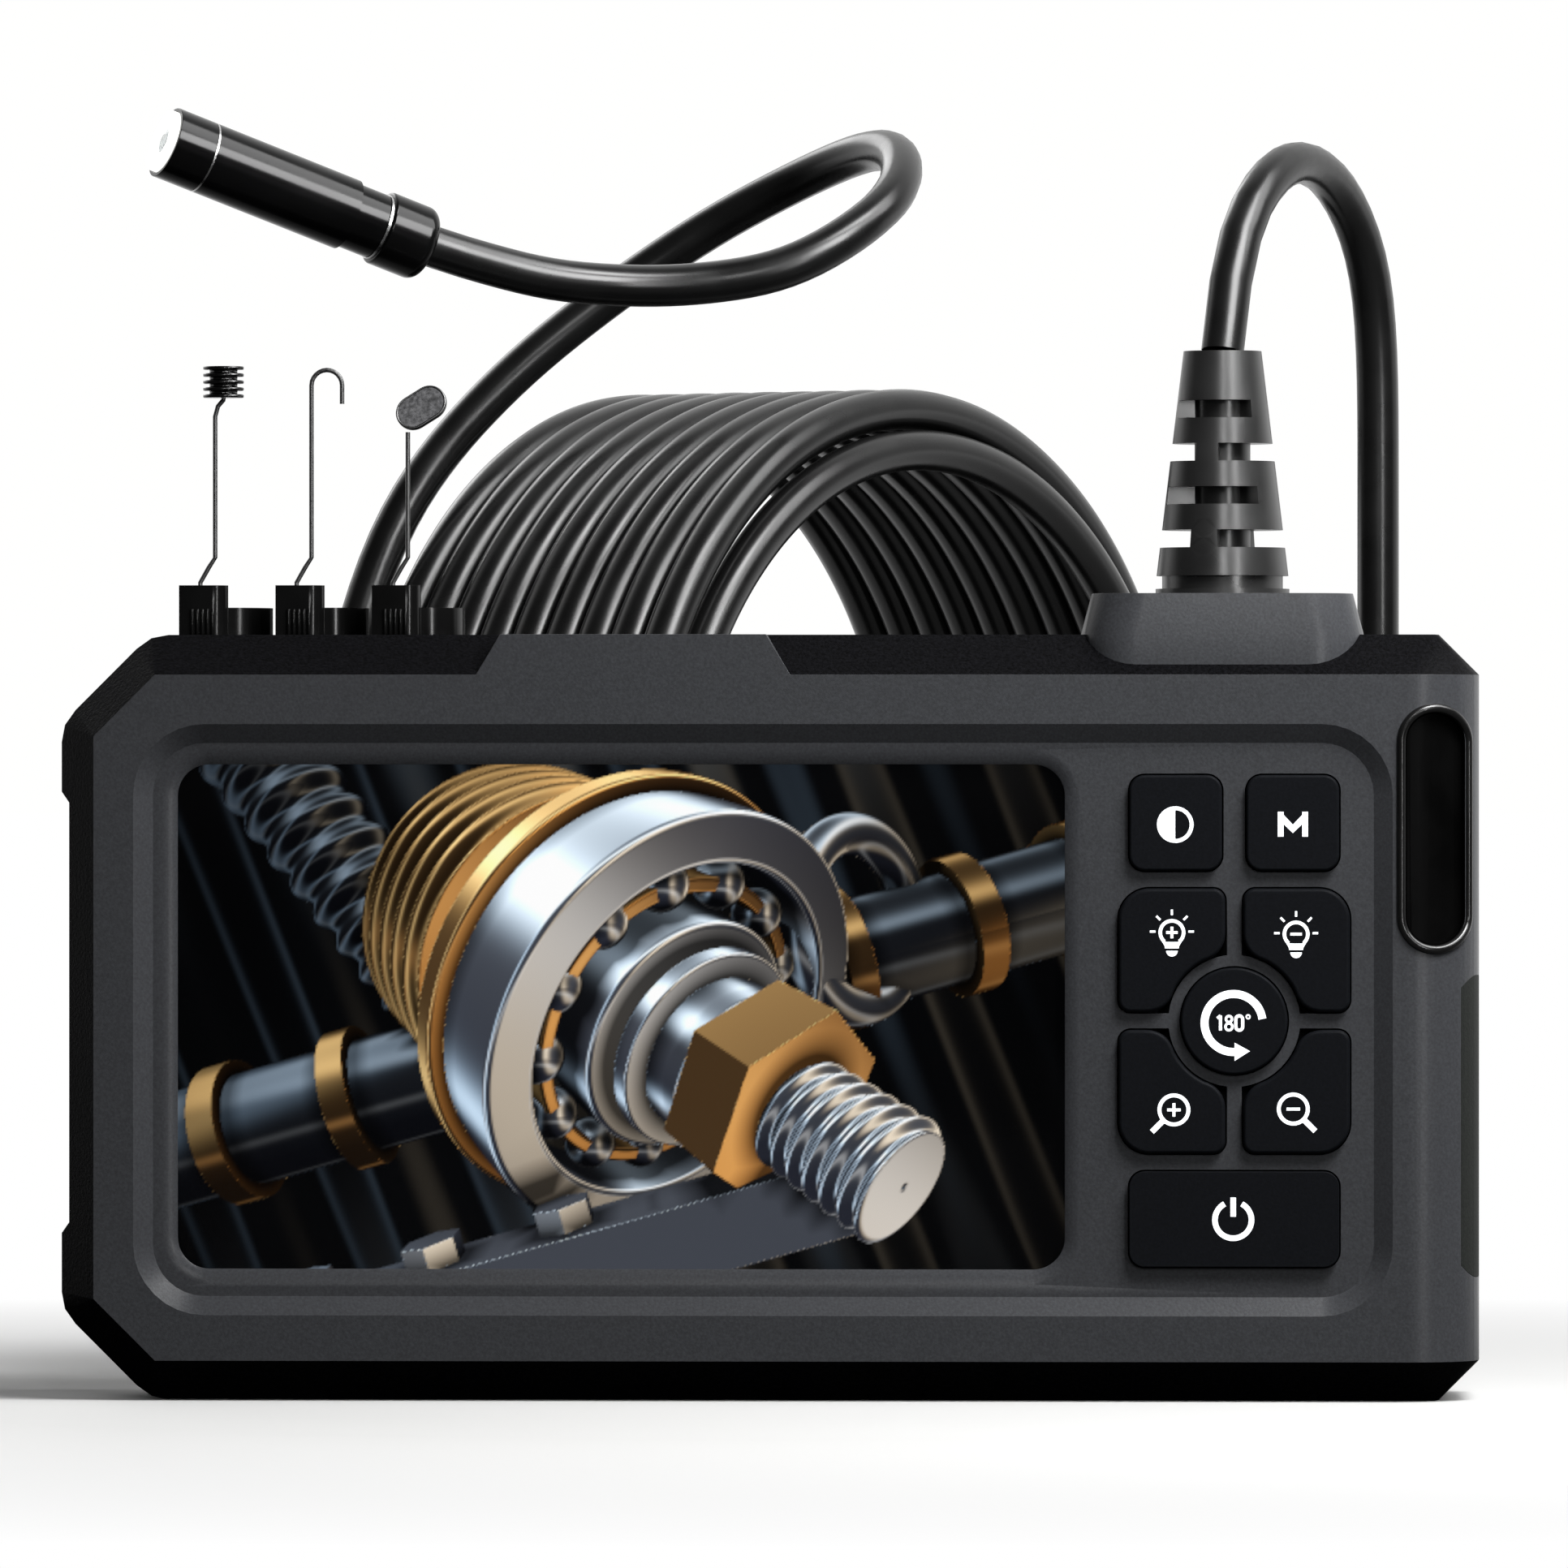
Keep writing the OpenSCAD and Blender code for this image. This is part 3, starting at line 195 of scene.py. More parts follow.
CAMERA_YAW = math.radians(2)
CAMERA_DISTANCE = 1.5
AIM = Vector((0.00175, -0.0145, 0.066))
SENSOR_WIDTH = 36
LENS = 322.5


def add_camera():
    data = bpy.data.cameras.new("camera")
    data.sensor_fit = "AUTO"
    data.sensor_width = SENSOR_WIDTH
    data.lens = LENS
    camera = add_object("camera", data)
    back = Vector((math.sin(CAMERA_YAW), -math.cos(CAMERA_YAW), 0))
    camera.location = AIM + back * CAMERA_DISTANCE
    camera.rotation_euler = (math.radians(90), 0, CAMERA_YAW)
    bpy.context.scene.camera = camera
    bpy.context.view_layer.update()
    return camera


camera = add_camera()


def ray_through(point):
    """The camera's place and the direction from it through an image point."""
    data = camera.data
    long_side = max(W, H)
    across = point[0] - W / 2 + data.shift_x * long_side
    up = H / 2 - point[1] + data.shift_y * long_side
    into = -long_side * data.lens / data.sensor_width
    direction = camera.matrix_world.to_3x3() @ Vector((across, up, into))
    return camera.matrix_world.translation.copy(), direction.normalized()


def seen_at(place):
    """The image point where a place shows."""
    data = camera.data
    local = camera.matrix_world.inverted() @ Vector(place)
    scale = max(W, H) * data.lens / data.sensor_width / -local.z
    return W / 2 + local.x * scale - data.shift_x * W, H / 2 - local.y * scale + data.shift_y * H


def tree_of(obj):
    """A BVHTree of an object as finished and placed."""
    bpy.context.view_layer.update()
    evaluated = obj.evaluated_get(bpy.context.evaluated_depsgraph_get())
    mesh = evaluated.to_mesh()
    vertices = [obj.matrix_world @ v.co for v in mesh.vertices]
    tree = BVHTree.FromPolygons(vertices, [list(p.vertices) for p in mesh.polygons])
    evaluated.to_mesh_clear()
    return tree


def place_on(point_name, obj):
    """Where the ray through an image point meets an object, and the surface's normal there."""
    origin, direction = ray_through(POINTS[point_name])
    tree = tree_of(obj)
    place, normal, _, _ = tree.ray_cast(origin, direction)
    if place is None:
        reach = (cad_bounds[0] + cad_bounds[1]) / 2 - origin
        place, normal, _, _ = tree.find_nearest(origin + direction * reach.dot(direction))
    return place, normal


# ---- cable: the route's points, in millimetres, are those of part.scad ----
# LOOP_POINTS were chosen. Most of LEAD_POINTS were worked out by a script.

CABLE_D = 4.6 * MM
GLAND_X = 48.5
RELIEF_TOP = 112.6
LOOP_POINTS = [
    (49.5, 2.5, 124.5), (53, 9, 132), (57, 18, 134.5), (61, 27, 132), (64.5, 33.5, 124.5), (65.5, 36, 114),
    (65.5, 36, 100), (65.5, 36, 86), (65.5, 36, 72), (65.5, 36, 58), (65.5, 36, 44), (65.5, 36, 30),
    (65.5, 37.5, 16.5), (65.5, 43.5, 7), (65.5, 54, 2.5), (63, 66, 2.5), (55.5, 76.5, 2.5), (43.5, 81, 2.5),
    (31, 78, 2.5),
]
LEAD_POINTS = [
    (-26, 83, 3.5), (-32.5, 73.5, 7.5), (-39, 65.5, 13.5), (-44, 58.5, 22), (-48.5, 53.5, 32),
    (-51, 50, 43), (-52, 49, 55.5), (-51.5, 50, 67.5), (-49.5, 53, 80), (-45.5, 56.5, 93.5), (-40.5, 60, 102),
    (-35.5, 62.5, 108), (-29.5, 64.5, 114), (-22, 66, 120), (-15, 66.5, 125), (-8, 66, 129.5), (0, 63, 133.5),
    (6, 57.5, 136), (10.5, 50.5, 137), (13, 43, 135.5), (13, 36, 132), (10.5, 30, 128.5), (5, 26, 124.5),
    (-0.5, 24.5, 122), (-6.5, 24, 121), (-12, 23, 120.5), (-18, 21.5, 120.5), (-25, 18.5, 121),
    (-31, 16, 122.5),
]
PROBE_TIP = Vector((-66, 0, 135.5))
PROBE_TURN = math.radians(24)
PROBE_FALL = math.radians(19.8)
PROBE_DIRECTION = Vector((
    math.cos(PROBE_FALL) * math.cos(PROBE_TURN),
    math.cos(PROBE_FALL) * math.sin(PROBE_TURN),
    -math.sin(PROBE_FALL),
))
PROBE_LENGTH = 32.5
PROBE_TUBE_END = 22.6
COIL_TURN = math.radians(35)
COIL_CENTRE = Vector((14.5, 68, 55.3))
COIL_RADIUS = 53
COIL_PITCH = 4.6
COIL_TURNS = 9
COIL_ENTRY = 5
COIL_STEP = 6


def smooth_step(x):
    x = min(max(x, 0), 1)
    return x * x * (3 - 2 * x)


def coil_points():
    """One turn that starts at the coil's front end and passes inside it, then the outer turns."""
    along = Vector((-math.cos(COIL_TURN), math.sin(COIL_TURN), 0))
    across = Vector((-math.sin(COIL_TURN), -math.cos(COIL_TURN), 0))
    points = []
    for angle in range(0, 360 * (COIL_TURNS + 1) + 1, COIL_STEP):
        if angle < 360:
            inward = smooth_step(angle / 60) if angle < 180 else 1 - smooth_step((angle - 270) / 90)
            radius = COIL_RADIUS - COIL_PITCH * inward
            shift = -COIL_ENTRY * (1 - smooth_step((angle - 20) / 70))
        else:
            radius = COIL_RADIUS
            shift = (angle - 360) / 360 * COIL_PITCH
        turn = math.radians(angle)
        rise = Vector((0, 0, radius * math.cos(turn)))
        points.append(COIL_CENTRE + along * shift + across * radius * math.sin(turn) - rise)
    return points


def add_cable(material):
    start = Vector((GLAND_X, 0, RELIEF_TOP))
    rear = PROBE_TIP + PROBE_DIRECTION * PROBE_LENGTH
    inner = PROBE_TIP + PROBE_DIRECTION * PROBE_TUBE_END
    route = [start, *map(Vector, LOOP_POINTS), *coil_points(), *map(Vector, LEAD_POINTS), rear, inner]
    data = bpy.data.curves.new("cable", "CURVE")
    data.dimensions = "3D"
    data.bevel_depth = CABLE_D / 2
    data.bevel_resolution = 6
    data.use_fill_caps = True
    spline = data.splines.new("NURBS")
    spline.points.add(len(route) - 1)
    for point, place in zip(spline.points, route):
        point.co = (*(place * MM), 1)
    spline.order_u = 4
    spline.use_endpoint_u = True
    spline.resolution_u = 4
    cable = add_object("cable", data)
    data.materials.append(material)
    return cable


# ---- materials: how fine the noise in each is, in cycles per metre, and how far roughness strays ----

PLASTIC_CLOUDS = 60
GLOSS_WAVES = 900
GLOSS_CLOUDS = 120
METAL_SCRATCHES = 2500
LAMP_CLOUDS = 1200
WINDOW_SMEARS = 90
WINDOW_IOR = 1.25
ROUGHNESS_STRAY = 0.02


def new_material(name, color, roughness, **inputs):
    material = bpy.data.materials.new(name)
    material.use_nodes = True
    shader = material.node_tree.nodes["Principled BSDF"]
    shader.inputs["Base Color"].default_value = (*color, 1)
    shader.inputs["Roughness"].default_value = roughness
    for key, value in inputs.items():
        shader.inputs[key.replace("_", " ")].default_value = value
    return material, material.node_tree, shader


def object_coordinates(tree):
    return tree.nodes.new("ShaderNodeTexCoord").outputs["Object"]


def noise(tree, vector, scale, detail=2, roughness=0.5):
    node = tree.nodes.new("ShaderNodeTexNoise")
    node.inputs["Scale"].default_value = scale
    node.inputs["Detail"].default_value = detail
    node.inputs["Roughness"].default_value = roughness
    tree.links.new(vector, node.inputs["Vector"])
    return node.outputs["Fac"]


def remap(tree, value, low, high, start=0.3, end=0.7):
    node = tree.nodes.new("ShaderNodeMapRange")
    node.inputs["From Min"].default_value = start
    node.inputs["From Max"].default_value = end
    node.inputs["To Min"].default_value = low
    node.inputs["To Max"].default_value = high
    tree.links.new(value, node.inputs["Value"])
    return node.outputs["Result"]


def color_between(tree, value, dark, light, start=0.3, end=0.7):
    ramp = tree.nodes.new("ShaderNodeValToRGB")
    ramp.color_ramp.elements[0].position = start
    ramp.color_ramp.elements[0].color = (*dark, 1)
    ramp.color_ramp.elements[1].position = end
    ramp.color_ramp.elements[1].color = (*light, 1)
    tree.links.new(value, ramp.inputs["Fac"])
    return ramp.outputs["Color"]


def bump(tree, shader, height, distance):
    node = tree.nodes.new("ShaderNodeBump")
    node.inputs["Distance"].default_value = distance
    tree.links.new(height, node.inputs["Height"])
    tree.links.new(node.outputs["Normal"], shader.inputs["Normal"])


def grained_plastic(name, dark, light, roughness, grain_size, grain_depth, specular=0.5):
    """Moulded plastic with a spark-eroded grain: its colour, roughness and surface vary with the grain."""
    material, tree, shader = new_material(name, light, roughness, Specular_IOR_Level=specular)
    place = object_coordinates(tree)
    grain = noise(tree, place, 1 / grain_size, 3, 0.6)
    cloud = noise(tree, place, PLASTIC_CLOUDS)
    tree.links.new(color_between(tree, grain, dark, light), shader.inputs["Base Color"])
    uneven = remap(tree, cloud, roughness - ROUGHNESS_STRAY, roughness + ROUGHNESS_STRAY, 0, 1)
    tree.links.new(uneven, shader.inputs["Roughness"])
    bump(tree, shader, grain, grain_depth)
    return material


def glossy_plastic(name, color, roughness, ripple=0.00002, specular=0.5):
    """Smooth plastic or rubber with a slight waviness and uneven gloss."""
    material, tree, shader = new_material(name, color, roughness, Specular_IOR_Level=specular)
    place = object_coordinates(tree)
    wave = noise(tree, place, GLOSS_WAVES)
    cloud = noise(tree, place, GLOSS_CLOUDS, 3)
    light = [c * 1.5 + 0.001 for c in color]
    tree.links.new(color_between(tree, cloud, color, light), shader.inputs["Base Color"])
    tree.links.new(remap(tree, cloud, roughness * 0.85, roughness * 1.2), shader.inputs["Roughness"])
    bump(tree, shader, wave, ripple)
    return material


def metal(name, color, roughness):
    material, tree, shader = new_material(name, color, roughness, Metallic=1.0)
    place = object_coordinates(tree)
    scratches = noise(tree, place, METAL_SCRATCHES, 3)
    dark = [c * 0.8 for c in color]
    tree.links.new(color_between(tree, scratches, dark, color), shader.inputs["Base Color"])
    tree.links.new(remap(tree, scratches, roughness * 0.8, roughness * 1.3), shader.inputs["Roughness"])
    return material


def emitting(name, color, strength):
    material, tree, shader = new_material(name, color, 0.4)
    place = object_coordinates(tree)
    cloud = noise(tree, place, LAMP_CLOUDS)
    dark = [c * 0.9 for c in color]
    tint = color_between(tree, cloud, dark, color)
    tree.links.new(tint, shader.inputs["Base Color"])
    tree.links.new(tint, shader.inputs["Emission Color"])
    shader.inputs["Emission Strength"].default_value = strength
    return material


def window_glass():
    """A clear screen window: it shows what is behind it, with a sheen that grows at flat angles."""
    material = bpy.data.materials.new("screen_window")
    material.use_nodes = True
    tree = material.node_tree
    tree.nodes.remove(tree.nodes["Principled BSDF"])
    clear = tree.nodes.new("ShaderNodeBsdfTransparent")
    gloss = tree.nodes.new("ShaderNodeBsdfGlossy")
    smear = noise(tree, object_coordinates(tree), WINDOW_SMEARS, 3)
    tree.links.new(remap(tree, smear, 0.02, 0.06), gloss.inputs["Roughness"])
    fresnel = tree.nodes.new("ShaderNodeFresnel")
    fresnel.inputs["IOR"].default_value = WINDOW_IOR
    mix = tree.nodes.new("ShaderNodeMixShader")
    tree.links.new(fresnel.outputs["Fac"], mix.inputs["Fac"])
    tree.links.new(clear.outputs["BSDF"], mix.inputs[1])
    tree.links.new(gloss.outputs["BSDF"], mix.inputs[2])
    tree.links.new(mix.outputs["Shader"], tree.nodes["Material Output"].inputs["Surface"])
    return material


GREY = grained_plastic(
    "grey_plastic", (0.034, 0.035, 0.038), (0.050, 0.052, 0.057), 0.3, 0.0003, 0.000012, 0.2,
)
BLACK = grained_plastic(
    "black_plastic", (0.0006, 0.0006, 0.0007), (0.0045, 0.0045, 0.0055), 0.45, 0.00035, 0.00006, 0.03,
)
# The back shell is a lighter copy of the black frame plastic: painted light, so the back shows in the dim light that
# reaches it.
LIGHTENED_BACK = grained_plastic(
    "back_plastic_lightened", (0.004, 0.004, 0.0045), (0.009, 0.009, 0.010), 0.45, 0.00035, 0.00006, 0.15,
)
KEY = grained_plastic(
    "key_plastic", (0.0045, 0.0050, 0.0060), (0.0065, 0.0072, 0.0090), 0.5, 0.0003, 0.000008, 0.04,
)
RUBBER = glossy_plastic("relief_rubber", (0.010, 0.010, 0.010), 0.3, 0.000003, 1.0)
COVER = glossy_plastic("cover_rubber", (0.0006, 0.0006, 0.0006), 0.35, 0.00002, 0.03)
RIM = glossy_plastic("rim_rubber", (0.003, 0.003, 0.003), 0.22, 0.000005, 0.6)
PAD = grained_plastic(
    "pad_rubber", (0.011, 0.012, 0.011), (0.018, 0.020, 0.018), 0.6, 0.0003, 0.00003, 0.15,
)
CABLE = glossy_plastic("cable_jacket", (0.003, 0.003, 0.003), 0.27, 0.000003, 0.5)
PROBE = glossy_plastic("probe_black", (0.0015, 0.0015, 0.0016), 0.17, 0.000003, 0.25)
TOOL = glossy_plastic("tool_black", (0.002, 0.002, 0.002), 0.16, 0.000003, 0.3)
STEEL = metal("bright_steel", (0.62, 0.62, 0.62), 0.25)
WIRE = metal("wire_steel", (0.16, 0.16, 0.16), 0.4)
MAGNET = metal("magnet_metal", (0.08, 0.08, 0.08), 0.2)
MIRROR = metal("mirror_face", (0.30, 0.30, 0.31), 0.5)
BOARD = glossy_plastic("circuit_board", (0.02, 0.09, 0.04), 0.4)
BATTERY = glossy_plastic("battery_wrap", (0.04, 0.07, 0.2), 0.3)
WHITE = glossy_plastic("white_plastic", (0.75, 0.75, 0.72), 0.4)
LAMP = emitting("lamp_white", (1.0, 1.0, 0.97), 1.1)
# The key symbols are white print that glows by itself: painted light, bright under any lamp.
GLOWING_ICON = emitting("icon_white_glowing", (0.85, 0.87, 0.9), 0.8)
WINDOW = window_glass()

MATERIAL_OF = {
    "grey_shell": GREY, "black_shell": BLACK, "black_rubber": RUBBER, "pad_rubber": PAD, "display": BATTERY,
    "circuit_board": BOARD, "battery_wrap": BATTERY, "key_plastic": KEY, "bright_metal": STEEL,
    "cable_jacket": CABLE, "white_plastic": WHITE, "probe_black": PROBE, "tool_black": TOOL,
    "magnet_metal": MAGNET, "wire_steel": WIRE, "mirror_face": MIRROR, "clear_window": WINDOW,
}
OWN_MATERIAL = {"back_shell": LIGHTENED_BACK, "port_cover": COVER, "probe_window": LAMP, "led_ring": LAMP}

for part in frame["record"]["subparts"]:
    material = OWN_MATERIAL.get(part["node"], MATERIAL_OF.get(part["material_slot"]))
    if material:
        data = frame["nodes"][part["node"]].data
        data.materials.clear()
        data.materials.append(material)

cable = add_cable(CABLE)
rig.ride(cable, HOUSING)
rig.replaces(cable, "cable_loop", "cable_coil", "cable_lead")
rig.slot(cable, "cable_jacket")

# ---- rounded versions of the CAD pieces, with sizes in metres unless a comment says otherwise ----

slot_of = {part["node"]: part["material_slot"] for part in frame["record"]["subparts"]}
FACE_Y = -14.5
PORT_MIDDLE = (71.2, 61.2)
PORT_SIZE = (6.5, 25.1)
RIM_OUT = 0.35
RIM_RADIUS = 0.5 * MM
KEYS = ["contrast", "menu", "light_up", "light_down", "rotate", "zoom_in", "zoom_out", "power"]
BIG_KEYS = ("light_up", "light_down", "zoom_in", "zoom_out")
KEY_ROUNDING = 0.45 * MM
BIG_KEY_REACH = 2.4 * MM
BEVEL_ANGLE = math.radians(30)
DOUBLE_REACH = 2e-6
FLAT_ANGLE = math.radians(1)
UPRIGHT_SHARE = 0.8
FACING_SHARE = 0.97
SHARP_TURN = 30
FLANGE_KEPT = 1e-5
WALL_FOOT = 2e-5


def stand_for(piece, node):
    """Puts a piece in a CAD node's place: on its body, in its slot."""
    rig.ride(piece, frame["nodes"][node]["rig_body"])
    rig.replaces(piece, node)
    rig.slot(piece, slot_of[node])


def merged(node):
    """A bmesh of a CAD node, with its doubled points and the triangles of its flat faces merged."""
    build = bmesh.new()
    build.from_mesh(frame["nodes"][node].data)
    bmesh.ops.remove_doubles(build, verts=build.verts, dist=DOUBLE_REACH)
    bmesh.ops.dissolve_limit(build, angle_limit=FLAT_ANGLE, verts=build.verts, edges=build.edges)
    return build


def smooth_mesh(build, node):
    """A bmesh as a smoothly shaded mesh with a CAD node's materials. It frees the bmesh."""
    for face in build.faces:
        face.smooth = True
    mesh = frame["nodes"][node].data.copy()
    build.to_mesh(mesh)
    build.free()
    return mesh


def finished(mesh, node, width, segments=2):
    """A piece of this mesh with its sharp edges rounded, standing for a CAD node."""
    piece = add_object(node + "_soft", mesh)
    rounding = piece.modifiers.new("rounding", "BEVEL")
    rounding.width = width
    rounding.segments = segments
    rounding.limit_method = "ANGLE"
    rounding.angle_limit = BEVEL_ANGLE
    rounding.harden_normals = True
    rounding.miter_outer = "MITER_ARC"
    flatness = piece.modifiers.new("flatness", "WEIGHTED_NORMAL")
    flatness.keep_sharp = True
    stand_for(piece, node)
    return piece


def softened(node, width, segments=2):
    """A copy of a CAD node with its sharp edges rounded, standing for that node."""
    return finished(smooth_mesh(merged(node), node), node, width, segments)


def turned_smooth(node, axis_x, axis_y):
    """A copy of a CAD node turned about an upright axis, shaded as truly round with crisp ends."""
    mesh = frame["nodes"][node].data.copy()
    normals = []
    for face in mesh.polygons:
        face.use_smooth = True
        out = Vector((face.center.x - axis_x, face.center.y - axis_y)).normalized()
        flat = face.normal.copy()
        level = math.hypot(flat.x, flat.y)
        is_round = level > UPRIGHT_SHARE and (flat.x * out.x + flat.y * out.y) / level > FACING_SHARE
        for corner in face.vertices:
            if is_round:
                place = mesh.vertices[corner].co
                turn = Vector((place.x - axis_x, place.y - axis_y)).normalized() * level
                normals.append((turn.x, turn.y, flat.z))
            else:
                normals.append(tuple(flat))
    mesh.normals_split_custom_set(normals)
    piece = add_object(node + "_soft", mesh)
    stand_for(piece, node)
    return piece


def eased(outline, reach, steps=8):
    """A closed outline with each sharp outward corner turned into a curve that starts reach before it."""
    count = len(outline)
    lengths = [(outline[k] - outline[k - 1]).length for k in range(count)]

    def walk(start, sign):
        left, k = reach, start
        while True:
            step = lengths[k] if sign < 0 else lengths[(k + 1) % count]
            follow = (k + sign) % count
            if step >= left:
                return outline[k].lerp(outline[follow], left / step), k
            left, k = left - step, follow

    turns = []
    for k in range(count):
        before, after = outline[k] - outline[k - 1], outline[(k + 1) % count] - outline[k]
        turns.append(math.degrees(math.atan2(before.x * after.y - before.y * after.x, before.dot(after))))
    winding = 1 if sum(turns) > 0 else -1
    corners = [k for k in range(count) if turns[k] * winding > SHARP_TURN]
    dropped, curves = set(), {}
    for k in corners:
        start, first = walk(k, -1)
        end, last = walk(k, 1)
        inside = first
        while inside != (last + 1) % count:
            dropped.add(inside)
            inside = (inside + 1) % count
        bend = [start.lerp(outline[k], t / steps).lerp(outline[k].lerp(end, t / steps), t / steps)
                for t in range(steps + 1)]
        curves[first] = bend
    result = []
    for k in range(count):
        if k in curves:
            result += curves[k]
        elif k not in dropped:
            result.append(outline[k])
    return result


def eased_key(key, reach, width):
    """A key's cap with its sharp corners turned into curves, on the CAD key's own flange."""
    node = "key_" + key
    build = merged(node)
    front = min(build.faces, key=lambda face: face.calc_center_median().y)
    top = front.verts[0].co.y
    outline = eased([Vector((loop.vert.co.x, loop.vert.co.z)) for loop in front.loops], reach)
    low = sorted({round(v.co.y, 6) for v in build.verts})[1]
    geometry = build.verts[:] + build.edges[:] + build.faces[:]
    cut = (0, low + FLANGE_KEPT, 0)
    bmesh.ops.bisect_plane(build, geom=geometry, plane_co=cut, plane_no=(0, -1, 0), clear_outer=True)
    bmesh.ops.holes_fill(build, edges=[edge for edge in build.edges if edge.is_boundary])
    cap = build.faces.new([build.verts.new((x, top, z)) for x, z in outline])
    wall = bmesh.ops.extrude_face_region(build, geom=[cap])
    for corner in wall["geom"]:
        if isinstance(corner, bmesh.types.BMVert):
            corner.co.y = low + WALL_FOOT
    bmesh.ops.recalc_face_normals(build, faces=build.faces)
    return finished(smooth_mesh(build, node), node, width, 3)


# The width of each node's rounded edges, in millimetres
ROUNDING = {
    "front_shell": 0.25, "middle_frame": 0.3, "back_shell": 0.4, "gland_block": 0.6,
    "port_cover": 0.6, "side_pad": 0.3, "probe_head": 0.12, "probe_collar": 0.3, "probe_neck": 0.15,
    "magnet_collar": 0.12, "hook_collar": 0.12, "mirror_collar": 0.12, "magnet_head": 0.12,
    "mirror_frame": 0.15,
}
soft = {node: softened(node, width * MM) for node, width in ROUNDING.items()}
soft["strain_relief"] = turned_smooth("strain_relief", GLAND_X * MM, 0)
for key in KEYS:
    if key in BIG_KEYS:
        soft[key] = eased_key(key, BIG_KEY_REACH, KEY_ROUNDING)
    else:
        soft[key] = softened("key_" + key, KEY_ROUNDING, 3)

# ---- the picture on the screen: a generic ball bearing, ray marched into the colours of a fine mesh ----

PICTURE_COLUMNS = 480
PICTURE_SHARP = 2
PICTURE_MARGIN = 1.3 * MM
PICTURE_GAP = 0.04 * MM
EYE_DISTANCE = 4.1
EYE_LENS = 2.9
MARCH_START = 1.2
MARCH_END = 8
MARCH_STEPS = 64
MARCH_SHARE = 0.85
MARCH_LONGEST = 0.4
TOUCHING = 0.001
NORMAL_NUDGE = 0.002
CREVICE_REACH = 0.14
FOG_START = 3.6
BALLS = 13
STEEL_TINT = (0.66, 0.74, 0.84)
BRONZE_TINT = (0.95, 0.50, 0.17)
DARK_TINT = (0.24, 0.28, 0.33)


def turned(x, y, degrees):
    c, s = math.cos(math.radians(degrees)), math.sin(math.radians(degrees))
    return c * x - s * y, s * x + c * y


def tube(r, z, inner, outer, low, high, rounding=0.02):
    """Distance to a tube with rounded edges, about the z axis."""
    across = np.abs(r - (inner + outer) / 2) - (outer - inner) / 2 + rounding
    along = np.abs(z - (low + high) / 2) - (high - low) / 2 + rounding
    outside = np.hypot(np.maximum(across, 0), np.maximum(along, 0))
    return outside + np.minimum(np.maximum(across, along), 0) - rounding


def prism(x, y, z, sides, reach, low, high):
    """Distance to a prism with this many sides, about the z axis."""
    sector = 2 * math.pi / sides
    turn = (np.arctan2(y, x) + sector / 2) % sector - sector / 2
    across = np.hypot(x, y) * np.cos(turn) - reach
    along = np.abs(z - (low + high) / 2) - (high - low) / 2
    return np.maximum(across, along)


def picture_distance(x, y, z):
    """Distance to the nearest thing in the picture, and the number of its tint."""
    bx, bz = turned(x - 0.22, z, 38)
    by, bz = turned(y + 0.02, bz, -24)
    r = np.hypot(bx, by)
    races = np.minimum(tube(r, bz, 0.90, 1.14, -0.24, 0.24, 0.03), tube(r, bz, 0.44, 0.62, -0.24, 0.24, 0.03))
    shoulder = tube(r, bz, 0.98, 1.22, -0.34, -0.20, 0.02)
    sector = 2 * math.pi / BALLS
    turn = (np.arctan2(by, bx) + sector / 2) % sector - sector / 2
    ball = np.sqrt((r * np.cos(turn) - 0.76) ** 2 + (r * np.sin(turn)) ** 2 + bz ** 2) - 0.135
    cage = tube(r, bz, 0.72, 0.80, -0.10, 0.10, 0.02)
    shaft = np.minimum(tube(r, bz, 0.0, 0.40, -3.2, 0.62, 0.02), tube(r, bz, 0.0, 0.52, 0.30, 0.40, 0.015))
    thread = tube(r + 0.018 * np.sin(bz * 70 + np.arctan2(by, bx)), bz, 0.0, 0.25, 0.6, 1.55, 0.02)
    nut = np.maximum(prism(bx, by, bz, 6, 0.42, 0.64, 0.98), 0.0 - (r - 0.10))
    wheel = tube(r + 0.035 * np.cos(bz * 34), bz, 0.55, 1.0, -1.75, -0.85, 0.03)
    shield = tube(r, bz, 0.3, 0.95, -0.20, -0.14, 0.01)
    px, py = turned(x, y + 1.05, -16)
    rail = np.maximum(np.maximum(np.abs(py) - 0.16, np.abs(z - 0.55) - 0.22), np.abs(px + 0.9) - 1.9)
    bolt_x = (px + 3.0) % 0.62 - 0.31
    bolts = np.maximum(prism(bolt_x, z - 0.55, py, 6, 0.12, 0.1, 0.27), np.abs(px + 1.0) - 1.1)
    tx, ty = turned(x + 1.5, y - 0.55, 52)
    pipe = np.hypot(ty, z + 1.1) - 0.34 + 0.03 * np.cos(tx * 26)
    dx, dy = turned(x + 1.2, y + 0.38, -16)
    from_duct = np.hypot(dy, z + 0.9)
    duct = from_duct - 0.36
    clamps = np.maximum(from_duct - 0.45, np.abs((dx + 0.1) % 0.8 - 0.4) - 0.08)
    hoop_x, hoop_z = turned(x - 1.42, z + 0.6, 35)
    hoop = np.hypot(np.hypot(hoop_x, y - 0.58) - 0.52, hoop_z) - 0.12
    wall = z + 2.4 - 0.1 * np.cos(5 * x + 2 * y)
    steel = np.minimum(np.minimum(races, ball), np.minimum(shaft, np.minimum(thread, bolts)))
    steel = np.minimum(steel, np.minimum(rail, hoop))
    bronze = np.minimum(np.minimum(np.minimum(cage, nut), np.minimum(wheel, shoulder)), clamps)
    dark = np.minimum(np.minimum(np.minimum(shield, duct), pipe), wall)
    nearest = np.minimum(np.minimum(steel, bronze), dark)
    return nearest, np.where(nearest == steel, 0, np.where(nearest == bronze, 1, 2))


